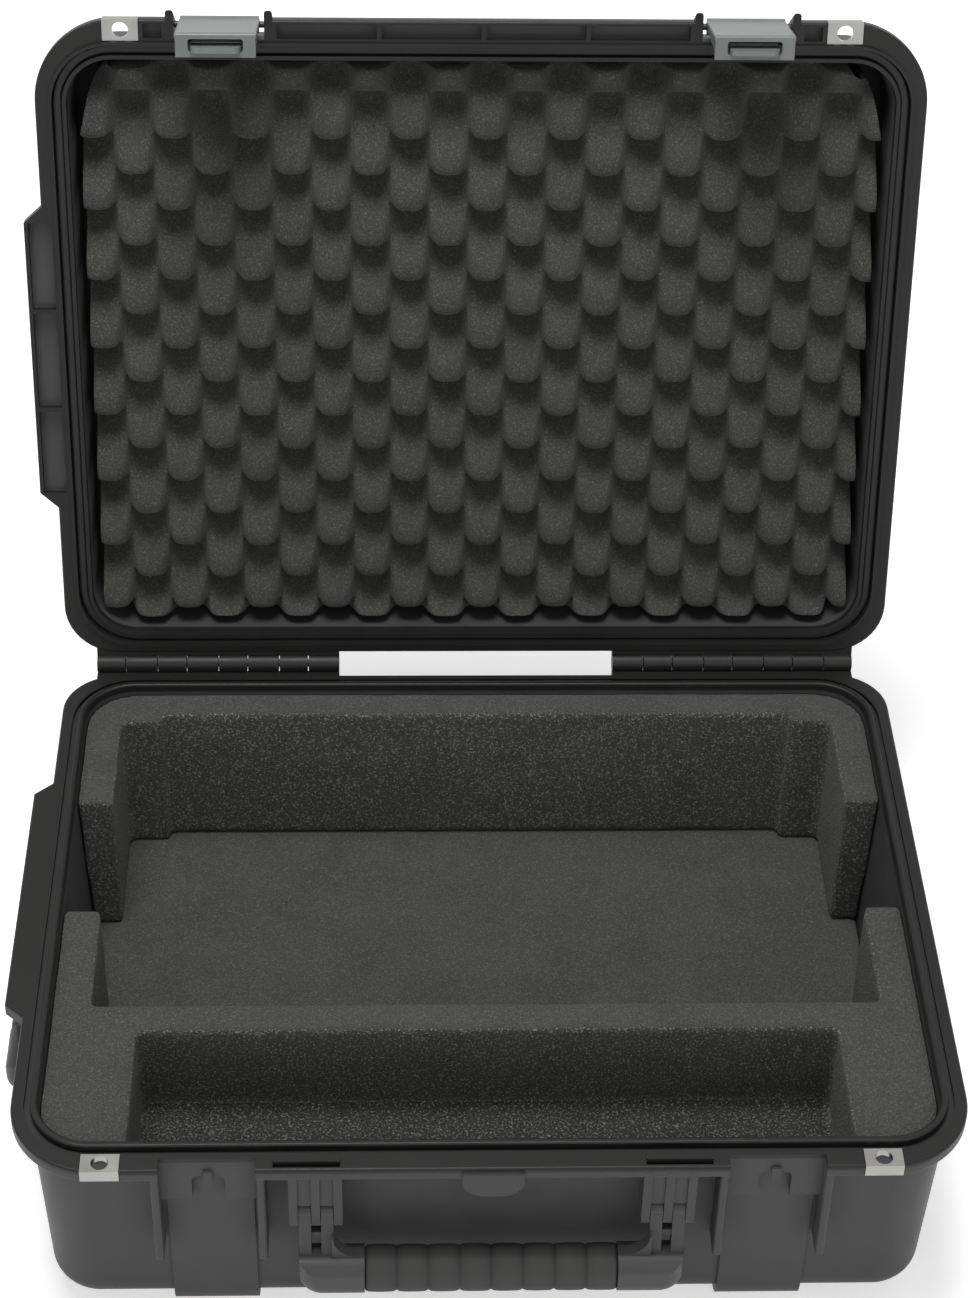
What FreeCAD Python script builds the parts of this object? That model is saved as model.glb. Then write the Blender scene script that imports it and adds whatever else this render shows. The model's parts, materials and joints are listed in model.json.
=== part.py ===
"""Hard case with a hinged lid, two trigger latches, two carry handles and foam linings.

The case stands on its feet with the lid open at its stop. X runs along the front, -Y is the front
with the handle and the latches, +Z is up. The origin is the centre of the underside panel.
"""
import FreeCAD
import Part
import math
import os

SIZES = {
    # Interior and shells
    "inner_width": 521.0,
    "inner_depth": 398.0,
    "wall": 4.6,
    "base_height": 144.0,
    "base_draft": 5.0,
    "base_floor_radius": 20.0,
    "lid_height": 57.0,
    "lid_draft": 3.0,
    "lid_crown_radius": 16.0,
    "inner_corner": 32.0,
    "base_corner": 30.0,
    "foot_height": 5.0,
    "overrun": 1.0,
    "solid_gap": 0.4,
    # Rim: flange, bead, groove, tongue and seal
    "flange_side": 15.6,
    "flange_front": 21.0,
    "flange_back": 13.3,
    "flange_height": 9.0,
    "flange_front_corner": 52.0,
    "flange_back_corner": 34.0,
    "flange_edge": 1.6,
    "bead_width": 4.4,
    "bead_height": 2.5,
    "bead_edge": 1.5,
    "groove_width": 3.8,
    "groove_depth": 3.0,
    "parting_gap": 0.3,
    "tongue_width": 2.2,
    "tongue_height": 2.0,
    "lip_width": 2.3,
    "lip_reach": 3.5,
    "seal_depth": 7.0,
    "seal_clear": 0.4,
    "seat_gap": 0.2,
    # Widened flange on the left, over the side handle
    "bump_reach": 11.3,
    "bump_length": 185.0,
    "bump_slope": 17.0,
    "bump_centre": 2.0,
    "bump_rib_spread": 67.0,
    "flange_rib": 3.0,
    "flange_lip": 2.5,
    "flange_hollow": 6.0,
    "flange_hollow_reach": 9.5,
    # Hinge
    "hinge_back": 9.3,
    "hinge_lift": 2.6,
    "hinge_first": 103.0,
    "hinge_pitch": 41.0,
    "knuckle_radius": 6.5,
    "base_knuckle": 20.6,
    "knuckle_gap": 0.8,
    "cradle_gap": 0.5,
    "hinge_pin_radius": 2.5,
    "hinge_arm": 7.0,
    "hinge_arm_gap": 0.5,
    "running_gap": 0.05,
    "pin_end": 0.4,
    "lid_open_angle": 102.45,
    # Latch seats on both shells
    "latch_place": 161.6,
    "latch_width": 49.2,
    "guard_spread": 60.0,
    "guard_width": 5.0,
    "guard_length": 80.0,
    "guard_reach": 20.0,
    "guard_edge": 1.8,
    "post_reach": 27.0,
    "post_foot": 46.0,
    "seat_reach": 12.0,
    "seat_drop": 35.0,
    "seat_top": 1.0,
    "seat_foot_reach": 2.0,
    "arch_width": 18.8,
    "arch_height": 20.0,
    "arch_corner": 4.0,
    "tab_width": 5.2,
    "tab_top": 4.5,
    "tab_height": 17.0,
    "tab_reach": 2.0,
    "notch_reach": 9.0,
    # Latch
    "latch_pin_reach": 15.5,
    "latch_pin_lift": 11.0,
    "latch_pin_radius": 2.0,
    "latch_barrel": 5.2,
    "latch_skin": 3.0,
    "latch_drop": 35.5,
    "latch_lean": 3.0,
    "latch_floor": 4.0,
    "latch_hook": 3.0,
    "latch_cheek": 8.1,
    "latch_window_corner": 1.6,
    "latch_edge": 1.2,
    "latch_bend": 2.4,
    "trigger_gap": 0.6,
    "trigger_skin": 3.0,
    "trigger_pin_radius": 1.2,
    "trigger_hub": 2.6,
    "trigger_pin_inset": 8.5,
    "trigger_rise": 7.0,
    "trigger_lip": 5.0,
    # Padlock plates
    "lock_place": 221.8,
    "lock_reach": 14.5,
    "lock_hole_radius": 5.0,
    "lock_width": 22.0,
    "lock_depth": 13.0,
    "lock_skin": 1.5,
    "lock_drop": 8.0,
    "eyelet_wall": 1.6,
    "eyelet_height": 4.0,
    # Handles: brackets on the base, swinging frame and soft grip
    "bracket_spread": 100.8,
    "bracket_pitch": 12.8,
    "bracket_rib": 5.0,
    "bracket_reach": 16.5,
    "bracket_below": 9.5,
    "bracket_edge": 1.5,
    "bracket_web_gap": 1.6,
    "bracket_web_set": 1.5,
    "pivot_reach": 11.0,
    "pivot_drop": 39.5,
    "handle_pin_radius": 2.5,
    "prong_width": 7.0,
    "prong_radius": 5.2,
    "prong_depth": 8.6,
    "handle_hang": 44.0,
    "handle_out": 8.0,
    "handle_tie": 5.0,
    "handle_tie_drop": 17.0,
    "handle_tie_step": 12.0,
    "bar_height": 22.0,
    "bar_depth": 17.0,
    "bar_over": 10.5,
    "bar_end_radius": 14.0,
    "bar_edge": 5.0,
    "corner_radius": 16.0,
    "web_depth": 7.6,
    "grip_skin": 3.0,
    "grip_length": 146.0,
    "grip_corner": 9.0,
    "grip_pitch": 18.25,
    "grip_groove": 1.2,
    "grip_groove_depth": 0.6,
    "side_spread": 70.0,
    "side_grip_length": 86.0,
    "rail_place": 105.5,
    "rail_length": 38.0,
    "rail_width": 4.0,
    "rail_inset": 4.5,
    "rail_height": 2.4,
    "rail_slot": 2.0,
    "rail_slot_depth": 5.0,
    "badge_width": 35.0,
    "badge_height": 12.5,
    "badge_reach": 1.8,
    "badge_radius": 12.0,
    # Feet
    "foot_width": 50.0,
    "foot_length": 46.0,
    "foot_inset": 14.0,
    "panel_width": 190.0,
    "panel_length": 120.0,
    # Pressure valve low in the front wall, behind the grip
    "valve_radius": 6.0,
    "valve_head": 9.5,
    "valve_head_height": 3.5,
    "valve_nut": 9.0,
    "valve_nut_height": 4.0,
    "valve_seal_height": 1.2,
    "valve_rise": 3.5,
    "valve_room": 1.5,
    # Foam linings
    "foam_drop": 5.0,
    "floor_pad": 25.0,
    "bay_width": 474.0,
    "bay_back": 170.5,
    "bay_front": 87.0,
    "bay_notch_width": 421.0,
    "bay_notch": 7.0,
    "hand_front": 6.0,
    "hand_back": 90.5,
    "box_width": 417.0,
    "box_back": 108.5,
    "box_depth": 67.0,
    "crate_clear": 6.0,
    "crate_gap": 7.0,
    "crate_slab": 24.0,
    "crate_pitch_across": 49.2,
    "crate_pitch_along": 46.5,
    "crate_place_across": 20.9,
    "crate_place_along": 4.0,
    "crate_corner": 30.0,
    "crate_droop": 7.0,
}

doc = FreeCAD.newDocument("hard_case")
sheet = doc.addObject("Spreadsheet::Sheet", "Sizes")
for row, (alias, value) in enumerate(SIZES.items(), 1):
    sheet.set("A%d" % row, alias)
    sheet.set("B%d" % row, str(value))
    sheet.setAlias("B%d" % row, alias)
doc.recompute()


class Size:
    """A length, with its value now and the sheet expression that gives it."""

    def __init__(self, value, text):
        self.value = value
        self.text = text

    def joined(self, sign, other, value):
        text = other.text if isinstance(other, Size) else repr(other)
        return Size(value, "(%s %s %s)" % (self.text, sign, text))

    def __add__(self, other):
        return self.joined("+", other, self.value + plain(other))

    def __sub__(self, other):
        return self.joined("-", other, self.value - plain(other))

    def __mul__(self, other):
        return self.joined("*", other, self.value * plain(other))

    def __truediv__(self, other):
        return self.joined("/", other, self.value / plain(other))

    def __neg__(self):
        return Size(-self.value, "(0 - %s)" % self.text)


def plain(size):
    """The number in a size, or a plain count or share as it is."""
    return size.value if isinstance(size, Size) else size


class Cells:
    """Every cell of the sheet as a size, by its alias."""

    def __init__(self):
        for alias in SIZES:
            setattr(self, alias, Size(float(sheet.get(alias)), "Sizes." + alias))


cell = Cells()
ZERO = Size(0.0, "0")
UP = FreeCAD.Vector(0, 0, 1)
ACROSS = FreeCAD.Vector(1, 0, 0)
BACK = FreeCAD.Vector(0, 1, 0)
SIDES = {"left": -1, "right": 1}

# Places that many pieces share, all with the lid shut
rim = cell.foot_height + cell.base_height
half_width = cell.inner_width / 2
half_depth = cell.inner_depth / 2
wall_width = half_width + cell.wall
wall_depth = half_depth + cell.wall
flange_width = half_width + cell.flange_side
flange_front = half_depth + cell.flange_front
flange_back = half_depth + cell.flange_back
hinge_y = flange_back + cell.hinge_back
hinge_z = rim + cell.hinge_lift
lid_rim = rim + cell.parting_gap
lid_knuckle = cell.hinge_pitch - cell.base_knuckle - cell.knuckle_gap * 2
foam_top = rim - cell.foam_drop
tray_floor = foam_top - cell.box_depth
valve_z = cell.foot_height + cell.base_floor_radius + cell.valve_rise + cell.valve_head
valve_outside = wall_depth - cell.base_draft * (rim - valve_z) / cell.base_height
valve_inside = valve_outside - cell.wall - cell.solid_gap * 2
lid_inner_width = half_width - cell.lip_reach
lid_inner_depth = half_depth - cell.lip_reach
seal_inner = cell.lip_width - cell.lip_reach
tongue_inner = cell.bead_width + (cell.groove_width - cell.tongue_width) / 2


def bind(thing, **sizes):
    """Tie properties to sizes; a double underscore stands for the dot of a nested one."""
    for prop, size in sizes.items():
        thing.setExpression(prop.replace("__", "."), size.text)
    return thing


def add(kind, name):
    thing = doc.addObject(kind, name)
    thing.Label = name
    return thing


def move(thing, x=ZERO, y=ZERO, z=ZERO):
    return bind(thing, Placement__Base__x=x, Placement__Base__y=y, Placement__Base__z=z)


def block(name, x, y, z):
    """A box between three pairs of places."""
    thing = bind(add("Part::Box", name), Length=x[1] - x[0], Width=y[1] - y[0], Height=z[1] - z[0])
    return move(thing, x[0], y[0], z[0])


def rod(name, axis, start, length, radius):
    """A cylinder along an axis from a start place."""
    thing = bind(add("Part::Cylinder", name), Radius=radius, Height=length)
    thing.Placement = FreeCAD.Placement(FreeCAD.Vector(), FreeCAD.Rotation(UP, axis))
    return move(thing, *start)


def fuse(name, things):
    thing = add("Part::MultiFuse", name)
    thing.Shapes = things
    return thing


def common(name, base, tool):
    thing = add("Part::Common", name)
    thing.Base = base
    thing.Tool = tool
    return thing


def cut(name, base, tools):
    thing = add("Part::Cut", name)
    thing.Base = base
    thing.Tool = tools[0] if len(tools) == 1 else fuse(name + "_cuts", tools)
    return thing


def round_edges(name, base, radius, wanted):
    """Fillet the edges of base that the test picks."""
    doc.recompute()
    thing = add("Part::Fillet", name)
    thing.Base = base
    picked = [n for n, edge in enumerate(base.Shape.Edges, 1) if wanted(edge)]
    thing.Edges = [(n, plain(radius), plain(radius)) for n in picked]
    doc.recompute()
    return thing


def spread(edge):
    """How far an edge reaches along X, Y and Z."""
    box = edge.BoundBox
    return box.XLength, box.YLength, box.ZLength


def upright(edge):
    x, y, z = spread(edge)
    return z > max(x, y)


def along_x(edge):
    x, y, z = spread(edge)
    return x > max(y, z)


def along_y(edge):
    x, y, z = spread(edge)
    return y > max(x, z)


def flat_in_y(edge):
    return edge.BoundBox.YLength < plain(cell.running_gap)


def level_at(height):
    """A test for edges that lie flat at a height."""
    level = plain(height)
    near = plain(cell.running_gap)

    def wanted(edge):
        box = edge.BoundBox
        return abs(box.ZMin - level) < near and abs(box.ZMax - level) < near

    return wanted


def in_corner(front):
    """A test for upright edges at the front or the back."""
    return lambda edge: upright(edge) and (edge.CenterOfMass.y < 0) == front


def slab(name, x, y, z, front_corner, back_corner, top_edge=None, low_edge=None):
    """A plate with rounded corners, and its top or lower outline rounded too if asked."""
    thing = block(name + "_block", x, y, z)
    thing = round_edges(name + "_front", thing, front_corner, in_corner(True))
    thing = round_edges(name + "_back", thing, back_corner, in_corner(False))
    if top_edge:
        thing = round_edges(name + "_top", thing, top_edge, level_at(z[1]))
    if low_edge:
        thing = round_edges(name + "_low", thing, low_edge, level_at(z[0]))
    return thing


def offset_slab(name, offset, z, corner, **edges):
    """A slab whose outline lies outside the interior by an offset."""
    width = half_width + offset
    depth = half_depth + offset
    return slab(name, (-width, width), (-depth, depth), z, corner, corner, **edges)


def ring(name, inner, outer, z, corner, **edges):
    """A frame round the interior between two offsets."""
    inside = (z[0] - cell.overrun, z[1] + cell.overrun)
    hole = offset_slab(name + "_hole", inner, inside, corner + inner - outer)
    return cut(name, offset_slab(name + "_plate", outer, z, corner, **edges), [hole])


def tub(name, width, depth, z_open, z_closed, inset, corner, closed_radius):
    """A drafted box, open end wider by the inset, with round corners and a round closed end."""
    thing = add("Part::Wedge", name + "_wedge")
    thing.Placement = FreeCAD.Placement(FreeCAD.Vector(), FreeCAD.Rotation(BACK, UP))
    low_open = plain(z_open) < plain(z_closed)
    low = (ZERO, z_open) if low_open else (inset, z_closed)
    high = (inset, z_closed) if low_open else (ZERO, z_open)
    bind(thing, Ymin=low[1], Ymax=high[1])
    bind(thing, Xmin=low[0] - width, Xmax=width - low[0], Zmin=low[0] - depth, Zmax=depth - low[0])
    bind(thing, X2min=high[0] - width, X2max=width - high[0], Z2min=high[0] - depth, Z2max=depth - high[0])
    thing = round_edges(name + "_corners", thing, corner, upright)
    return round_edges(name, thing, closed_radius, level_at(z_closed))


def corner_at(offset):
    """The corner radius of an outline that lies outside the interior by an offset."""
    return cell.inner_corner + offset


def swing_open(thing):
    """Turn a piece of the lid about the hinge, from shut to the open stop."""
    turn = "rotation(vector(1; 0; 0); 0 - Sizes.lid_open_angle)"
    centre = "vector(0; %s; %s)" % (hinge_y.text, hinge_z.text)
    thing.setExpression("Placement", "placement(vector(0; 0; 0); %s; %s)" % (turn, centre))
    return thing


def about(centre, size):
    """A pair of places half a size each way from a centre."""
    return centre - size / 2, centre + size / 2


def bump(name, reach, length, slope, z):
    """The widened stretch of a flange on the left side, with sloped ends."""
    thing = add("Part::Wedge", name)
    thing.Placement = FreeCAD.Placement(FreeCAD.Vector(), FreeCAD.Rotation(ACROSS, BACK))
    near = cell.bump_centre - length / 2
    far = cell.bump_centre + length / 2
    bind(thing, Ymin=half_width + cell.bead_width + cell.groove_width, Ymax=flange_width + reach)
    bind(thing, Xmin=near - slope, Xmax=far + slope, X2min=near, X2max=far)
    return bind(thing, Zmin=z[0], Zmax=z[1], Z2min=z[0], Z2max=z[1])


def flange(name, z):
    """The flat collar round a shell, with its widened stretch."""
    sheet_edges = {"top_edge": cell.flange_edge, "low_edge": cell.flange_edge}
    x = (-flange_width, flange_width)
    y = (-flange_front, flange_back)
    plate = slab(name, x, y, z, cell.flange_front_corner, cell.flange_back_corner, **sheet_edges)
    wide = bump(name + "_bump_block", cell.bump_reach, cell.bump_length, cell.bump_slope, z)
    reach = round_edges(name + "_bump", wide, cell.flange_edge, level_at(z[1]))
    return [plate, reach]


def hinge_row(start):
    """Centres of the four knuckles of one shell on both hinges, outwards from a start place."""
    steps = [start + cell.hinge_pitch * step for step in range(4)]
    return [place * side for side in SIDES.values() for place in steps]


base_row = hinge_row(cell.hinge_first)
lid_row = hinge_row(cell.hinge_first + cell.hinge_pitch / 2)
hinge_start = cell.hinge_first - cell.base_knuckle / 2
hinge_length = cell.hinge_pitch * 4 - cell.knuckle_gap


def knuckles(name, row, width, other_row, other_width, arm_z):
    """A shell's hinge knuckles and the ledges behind its flange that carry them, as a list of solids.

    The ledges are hollowed where the other shell's knuckles turn."""
    things = []
    for number, centre in enumerate(row):
        start = (centre - width / 2, hinge_y, hinge_z)
        things.append(rod("%s_%d" % (name, number), ACROSS, start, width, cell.knuckle_radius))
    rooms = []
    length = other_width + cell.knuckle_gap * 2
    for number, centre in enumerate(other_row):
        start = (centre - length / 2, hinge_y, hinge_z)
        rooms.append(rod("%s_room_%d" % (name, number), ACROSS, start, length,
                         cell.knuckle_radius + cell.cradle_gap))
    ledges = []
    for side, sign in SIDES.items():
        x = about((hinge_start + hinge_length / 2) * sign, hinge_length)
        ledges.append(block("%s_ledge_%s" % (name, side), x, (flange_back - cell.hinge_arm, hinge_y), arm_z))
    things.append(cut(name + "_ledges", fuse(name + "_ledge_blocks", ledges), rooms))
    return things


def pin_hole(name, radius):
    """A bore through both hinges along the hinge axis."""
    reach = hinge_start + hinge_length + cell.overrun
    return rod(name, ACROSS, (-reach, hinge_y, hinge_z), reach * 2, radius)


def lock_notch(name, x, z):
    """An open notch in a flange under a padlock plate."""
    width = (cell.lock_hole_radius + cell.eyelet_wall + cell.solid_gap) * 2
    centre = half_depth + cell.lock_reach
    y = (-(flange_front + cell.overrun), -(centre - width / 2))
    return block(name, about(x, width), y, z)


def lock_seat(name, x, z):
    """The shallow seat of a padlock plate in a flange, open to the front."""
    y = (-(flange_front + cell.overrun), -(flange_front - cell.lock_depth - cell.solid_gap))
    return block(name, about(x, cell.lock_width + cell.solid_gap * 2), y, z)


def lock_front(name, x, z):
    """The room for a padlock plate's front leg."""
    y = (-(flange_front + cell.overrun), -(flange_front - cell.lock_skin))
    return block(name, about(x, cell.lock_width + cell.solid_gap * 2), y, z)


def bracket(name, spread, height):
    """Three ribs and a web between them at each end of a handle, in the handle's own frame."""
    things = []
    back = cell.pivot_reach + cell.wall
    for side in SIDES.values():
        web_y = (cell.bracket_web_set - cell.bracket_reach + cell.pivot_reach, back)
        things.append(block("%s_%s_web" % (name, "left" if side < 0 else "right"),
                            about(spread * side, cell.bracket_pitch * 2), web_y,
                            (cell.prong_radius + cell.bracket_web_gap, height)))
        for step in (-1, 0, 1):
            centre = spread * side + cell.bracket_pitch * step
            tag = "%s_%s_%d" % (name, "left" if side < 0 else "right", step + 1)
            y = (cell.pivot_reach - cell.bracket_reach, back)
            rib = block(tag + "_block", about(centre, cell.bracket_rib), y, (-cell.bracket_below, height))
            things.append(round_edges(tag, rib, cell.bracket_edge, level_at(-cell.bracket_below)))
    return fuse(name, things)


def at_front(thing):
    """Place a handle piece on the front wall."""
    return move(thing, ZERO, -(wall_depth + cell.pivot_reach), rim - cell.pivot_drop)


def at_side(thing):
    """Place a handle piece on the left wall."""
    thing.Placement = FreeCAD.Placement(FreeCAD.Vector(), FreeCAD.Rotation(BACK, ACROSS))
    return move(thing, -(wall_width + cell.pivot_reach), cell.bump_centre, rim - cell.pivot_drop)


HANDLES = {
    "front_handle": (at_front, cell.bracket_spread, cell.grip_length, ("left", "right")),
    "side_handle": (at_side, cell.side_spread, cell.side_grip_length, ("rear", "front")),
}


def base_shell():
    """The deep tub with its rim, latch seats, hinge halves, handle brackets and feet."""
    bottom = cell.foot_height
    solids = [tub("base_tub", wall_width, wall_depth, rim, bottom, cell.base_draft, cell.base_corner,
                  cell.base_floor_radius)]
    solids += flange("base_flange", (rim - cell.flange_height, rim))
    bead = ring("base_bead_ring", ZERO, cell.bead_width, (rim - cell.overrun, rim + cell.bead_height),
                corner_at(cell.bead_width))
    solids.append(round_edges("base_bead", bead, cell.bead_edge, level_at(rim + cell.bead_height)))
    arm_z = (rim - cell.flange_height, rim - cell.hinge_arm_gap)
    solids += knuckles("base_knuckle", base_row, cell.base_knuckle, lid_row, lid_knuckle, arm_z)
    feet = []
    cuts = []
    inside = cell.guard_spread - cell.guard_width
    seat_front = half_depth + cell.seat_reach
    seat_low = rim - cell.seat_drop
    for side, sign in SIDES.items():
        x = cell.latch_place * sign
        seat_y = (-seat_front, -half_depth)
        solids.append(block("latch_seat_" + side, about(x, inside), seat_y, (seat_low, rim - cell.seat_top)))
        tab_y = (-(seat_front + cell.tab_reach), -half_depth)
        tab_z = (rim - cell.tab_top - cell.tab_height, rim - cell.tab_top)
        solids.append(block("latch_tab_" + side, about(x, cell.tab_width), tab_y, tab_z))
        arch_y = (-(seat_front + cell.overrun), -(wall_depth + cell.seat_foot_reach))
        arch_z = (seat_low - cell.overrun, seat_low + cell.arch_height)
        arch = block("latch_arch_block_" + side, about(x, cell.arch_width), arch_y, arch_z)
        crown = level_at(arch_z[1])
        cuts.append(round_edges("latch_arch_" + side, arch, cell.arch_corner,
                                lambda edge: crown(edge) and not along_x(edge)))
        notch_y = (-(flange_front + cell.overrun), -seat_front)
        notch_z = (rim - cell.flange_height - cell.overrun, rim + cell.overrun)
        cuts.append(block("latch_notch_" + side, about(x, inside), notch_y, notch_z))
        for end in (-1, 1):
            tag = "guard_%s_%s" % (side, "inner" if end * sign < 0 else "outer")
            guard_y = (-(wall_depth + cell.guard_reach - cell.wall), -(wall_depth - cell.base_draft))
            guard_z = (rim - cell.guard_length, rim - cell.seat_top)
            guard = block(tag + "_block", about(x + cell.guard_spread * end / 2, cell.guard_width),
                          guard_y, guard_z)
            front = plain(guard_y[0])
            solids.append(round_edges(tag, guard, cell.guard_edge, lambda edge, y=front: (
                abs(edge.BoundBox.YMax - y) < plain(cell.running_gap))))
        foot_x = about(x, cell.foot_width)
        inset = cell.foot_inset + cell.foot_length
        feet.append(block("front_column_" + side, foot_x, (-flange_front, inset - wall_depth),
                          (ZERO, seat_low)))
        feet.append(block("rear_column_" + side, foot_x, (wall_depth - inset, flange_front),
                          (ZERO, cell.foot_height + cell.base_floor_radius)))
        rail_y = (cell.rail_inset - flange_front, cell.rail_inset + cell.rail_width - flange_front)
        rail_x = about(cell.rail_place * sign, cell.rail_length)
        solids.append(block("rail_" + side, rail_x, rail_y, (rim - cell.overrun, rim + cell.rail_height)))
        cuts.append(block("rail_slot_" + side, rail_x, (rail_y[0] - cell.rail_slot, rail_y[0]),
                          (rim - cell.rail_slot_depth, rim + cell.overrun)))
        lock_x = cell.lock_place * sign
        cuts.append(lock_notch("base_lock_notch_" + side, lock_x,
                               (rim - cell.flange_height - cell.overrun, rim + cell.overrun)))
        cuts.append(lock_seat("base_lock_seat_" + side, lock_x, (rim - cell.lock_skin, rim + cell.overrun)))
        cuts.append(lock_front("base_lock_front_" + side, lock_x,
                               (rim - cell.lock_drop, rim + cell.overrun)))
    feet.append(block("underside_panel", about(ZERO, cell.panel_width), about(ZERO, cell.panel_length),
                      (ZERO, cell.foot_height + cell.overrun)))
    stance = tub("feet_tub", wall_width + cell.seat_foot_reach, wall_depth + cell.seat_foot_reach, rim, ZERO,
                 cell.base_draft, cell.base_corner, cell.base_floor_radius)
    solids.append(common("base_feet", stance, fuse("feet_blocks", feet)))
    for name, (place, spread, grip, ends) in HANDLES.items():
        height = cell.pivot_drop - cell.flange_height / 2
        solids.append(place(bracket(name + "_bracket", spread, height)))
        reach = cell.bracket_pitch * 2 + cell.bracket_rib + cell.overrun * 2
        bores = [rod("%s_bracket_bore_%d" % (name, side + 1), ACROSS, (spread * side - reach / 2, ZERO, ZERO),
                     reach, cell.handle_pin_radius) for side in SIDES.values()]
        cuts.append(place(fuse(name + "_bracket_bores", bores)))
    badge_z = (rim - cell.flange_height - cell.badge_height, rim - cell.flange_edge)
    badge = block("badge_block", about(ZERO, cell.badge_width),
                  (-(flange_front + cell.badge_reach), -wall_depth), badge_z)
    solids.append(round_edges("badge", badge, cell.badge_radius, lambda edge: (
        level_at(badge_z[0])(edge) and not along_x(edge))))
    cavity_z = (rim + cell.bead_height + cell.overrun, bottom + cell.wall)
    cuts.append(tub("base_cavity", half_width, half_depth, cavity_z[0], cavity_z[1], cell.base_draft,
                    cell.inner_corner, cell.base_floor_radius - cell.wall))
    groove = (cell.bead_width, cell.bead_width + cell.groove_width)
    cuts.append(ring("base_groove", groove[0], groove[1], (rim - cell.groove_depth, rim + cell.overrun),
                     corner_at(groove[1])))
    cuts.append(pin_hole("base_hinge_bore", cell.hinge_pin_radius))
    valve_y = -(wall_depth + cell.overrun)
    cuts.append(rod("valve_bore", BACK, (ZERO, valve_y, valve_z),
                    cell.wall + cell.base_draft + cell.overrun * 2, cell.valve_radius))
    return cut("base_shell", fuse("base_solids", solids), cuts)


def slope_block(name, x, low, high, z):
    """A block whose front and back faces lean: low and high are its Y pairs at its two heights."""
    thing = add("Part::Wedge", name)
    thing.Placement = FreeCAD.Placement(FreeCAD.Vector(), FreeCAD.Rotation(BACK, UP))
    bind(thing, Ymin=z[0], Ymax=z[1], Xmin=x[0], Xmax=x[1], X2min=x[0], X2max=x[1])
    return bind(thing, Zmin=-low[1], Zmax=-low[0], Z2min=-high[1], Z2max=-high[0])


latch_pin_y = -(half_depth + cell.latch_pin_reach)
latch_pin_z = lid_rim + cell.latch_pin_lift
post_front = half_depth + cell.post_reach
post_top = lid_rim + cell.post_foot


def lid_shell():
    """The shallow tub with its rim, tongue, seal channel, latch posts and hinge halves."""
    top = rim + cell.lid_height
    flange_z = (lid_rim, lid_rim + cell.flange_height)
    solids = [tub("lid_tub", wall_width, wall_depth, lid_rim, top, cell.lid_draft, corner_at(cell.wall),
                  cell.lid_crown_radius)]
    solids += flange("lid_flange", flange_z)
    tongue_outer = tongue_inner + cell.tongue_width
    solids.append(ring("lid_tongue", tongue_inner, tongue_outer,
                       (lid_rim - cell.tongue_height, lid_rim + cell.overrun), corner_at(tongue_outer)))
    arm_z = (lid_rim + cell.hinge_arm_gap, lid_rim + cell.flange_height)
    solids += knuckles("lid_knuckle", lid_row, lid_knuckle, base_row, cell.base_knuckle, arm_z)
    below = lid_rim - cell.overrun
    hollow_z = (below, lid_rim + cell.flange_hollow)
    hollow_y = (-(flange_front - cell.flange_lip), -(half_depth + cell.flange_hollow_reach))
    cuts = []
    inside = cell.guard_spread - cell.guard_width
    for side, sign in SIDES.items():
        x = cell.latch_place * sign
        for end in (-1, 1):
            tag = "post_%s_%s" % (side, "inner" if end * sign < 0 else "outer")
            post = slope_block(tag + "_block", about(x + cell.guard_spread * end / 2, cell.guard_width),
                               (-post_front, -half_depth), (-wall_depth, -half_depth), (lid_rim, post_top))
            solids.append(round_edges(tag, post, cell.guard_edge, lambda edge: (
                upright(edge) and edge.CenterOfMass.y < -plain(wall_depth))))
        notch_y = (-(post_front + cell.overrun), -(half_depth + cell.notch_reach))
        cuts.append(block("lid_latch_notch_" + side, about(x, inside), notch_y,
                          (below, flange_z[1] + cell.overrun)))
        bore_x = cell.guard_spread + cell.guard_width * 2
        cuts.append(rod("latch_pin_bore_" + side, ACROSS, (x - bore_x / 2, latch_pin_y, latch_pin_z), bore_x,
                        cell.latch_pin_radius))
        lock_x = cell.lock_place * sign
        cuts.append(lock_notch("lid_lock_notch_" + side, lock_x, (below, flange_z[1] + cell.overrun)))
        cuts.append(lock_seat("lid_lock_seat_" + side, lock_x, (below, lid_rim + cell.lock_skin)))
        cuts.append(lock_front("lid_lock_front_" + side, lock_x, (below, lid_rim + cell.lock_drop)))
        near = x + (cell.guard_spread / 2 + cell.guard_width) * sign
        far = lock_x - (cell.lock_width / 2 + cell.flange_rib) * sign
        cuts.append(block("lid_corner_hollow_" + side, (near, far) if sign > 0 else (far, near), hollow_y,
                          hollow_z))
    span = cell.latch_place - cell.guard_spread / 2 - cell.guard_width
    step = (span * 2 + cell.flange_rib) / 4
    for number in range(4):
        start = step * number - span
        cuts.append(block("lid_front_hollow_%d" % number, (start, start + step - cell.flange_rib), hollow_y,
                          hollow_z))
    hollow_x = (-(flange_width + cell.bump_reach - cell.flange_lip),
                -(half_width + cell.flange_hollow_reach))
    rib_near = cell.bump_centre - cell.bump_rib_spread / 2
    rib_far = cell.bump_centre + cell.bump_rib_spread / 2
    ends = about(cell.bump_centre, cell.bump_length)
    half_rib = cell.flange_rib / 2
    stretches = [(ends[0], rib_near - half_rib), (rib_near + half_rib, rib_far - half_rib),
                 (rib_far + half_rib, ends[1])]
    for number, stretch in enumerate(stretches):
        cuts.append(block("lid_side_hollow_%d" % number, hollow_x, stretch, hollow_z))
    cuts.append(tub("lid_cavity", lid_inner_width, lid_inner_depth, below - cell.tongue_height,
                    top - cell.wall, cell.lid_draft, corner_at(-cell.lip_reach),
                    cell.lid_crown_radius - cell.wall))
    cuts.append(ring("lid_seal_channel", seal_inner, tongue_inner, (below, lid_rim + cell.seal_depth),
                     corner_at(tongue_inner)))
    cuts.append(pin_hole("lid_hinge_bore", cell.hinge_pin_radius + cell.running_gap))
    return swing_open(cut("lid_shell", fuse("lid_solids", solids), cuts))


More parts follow.
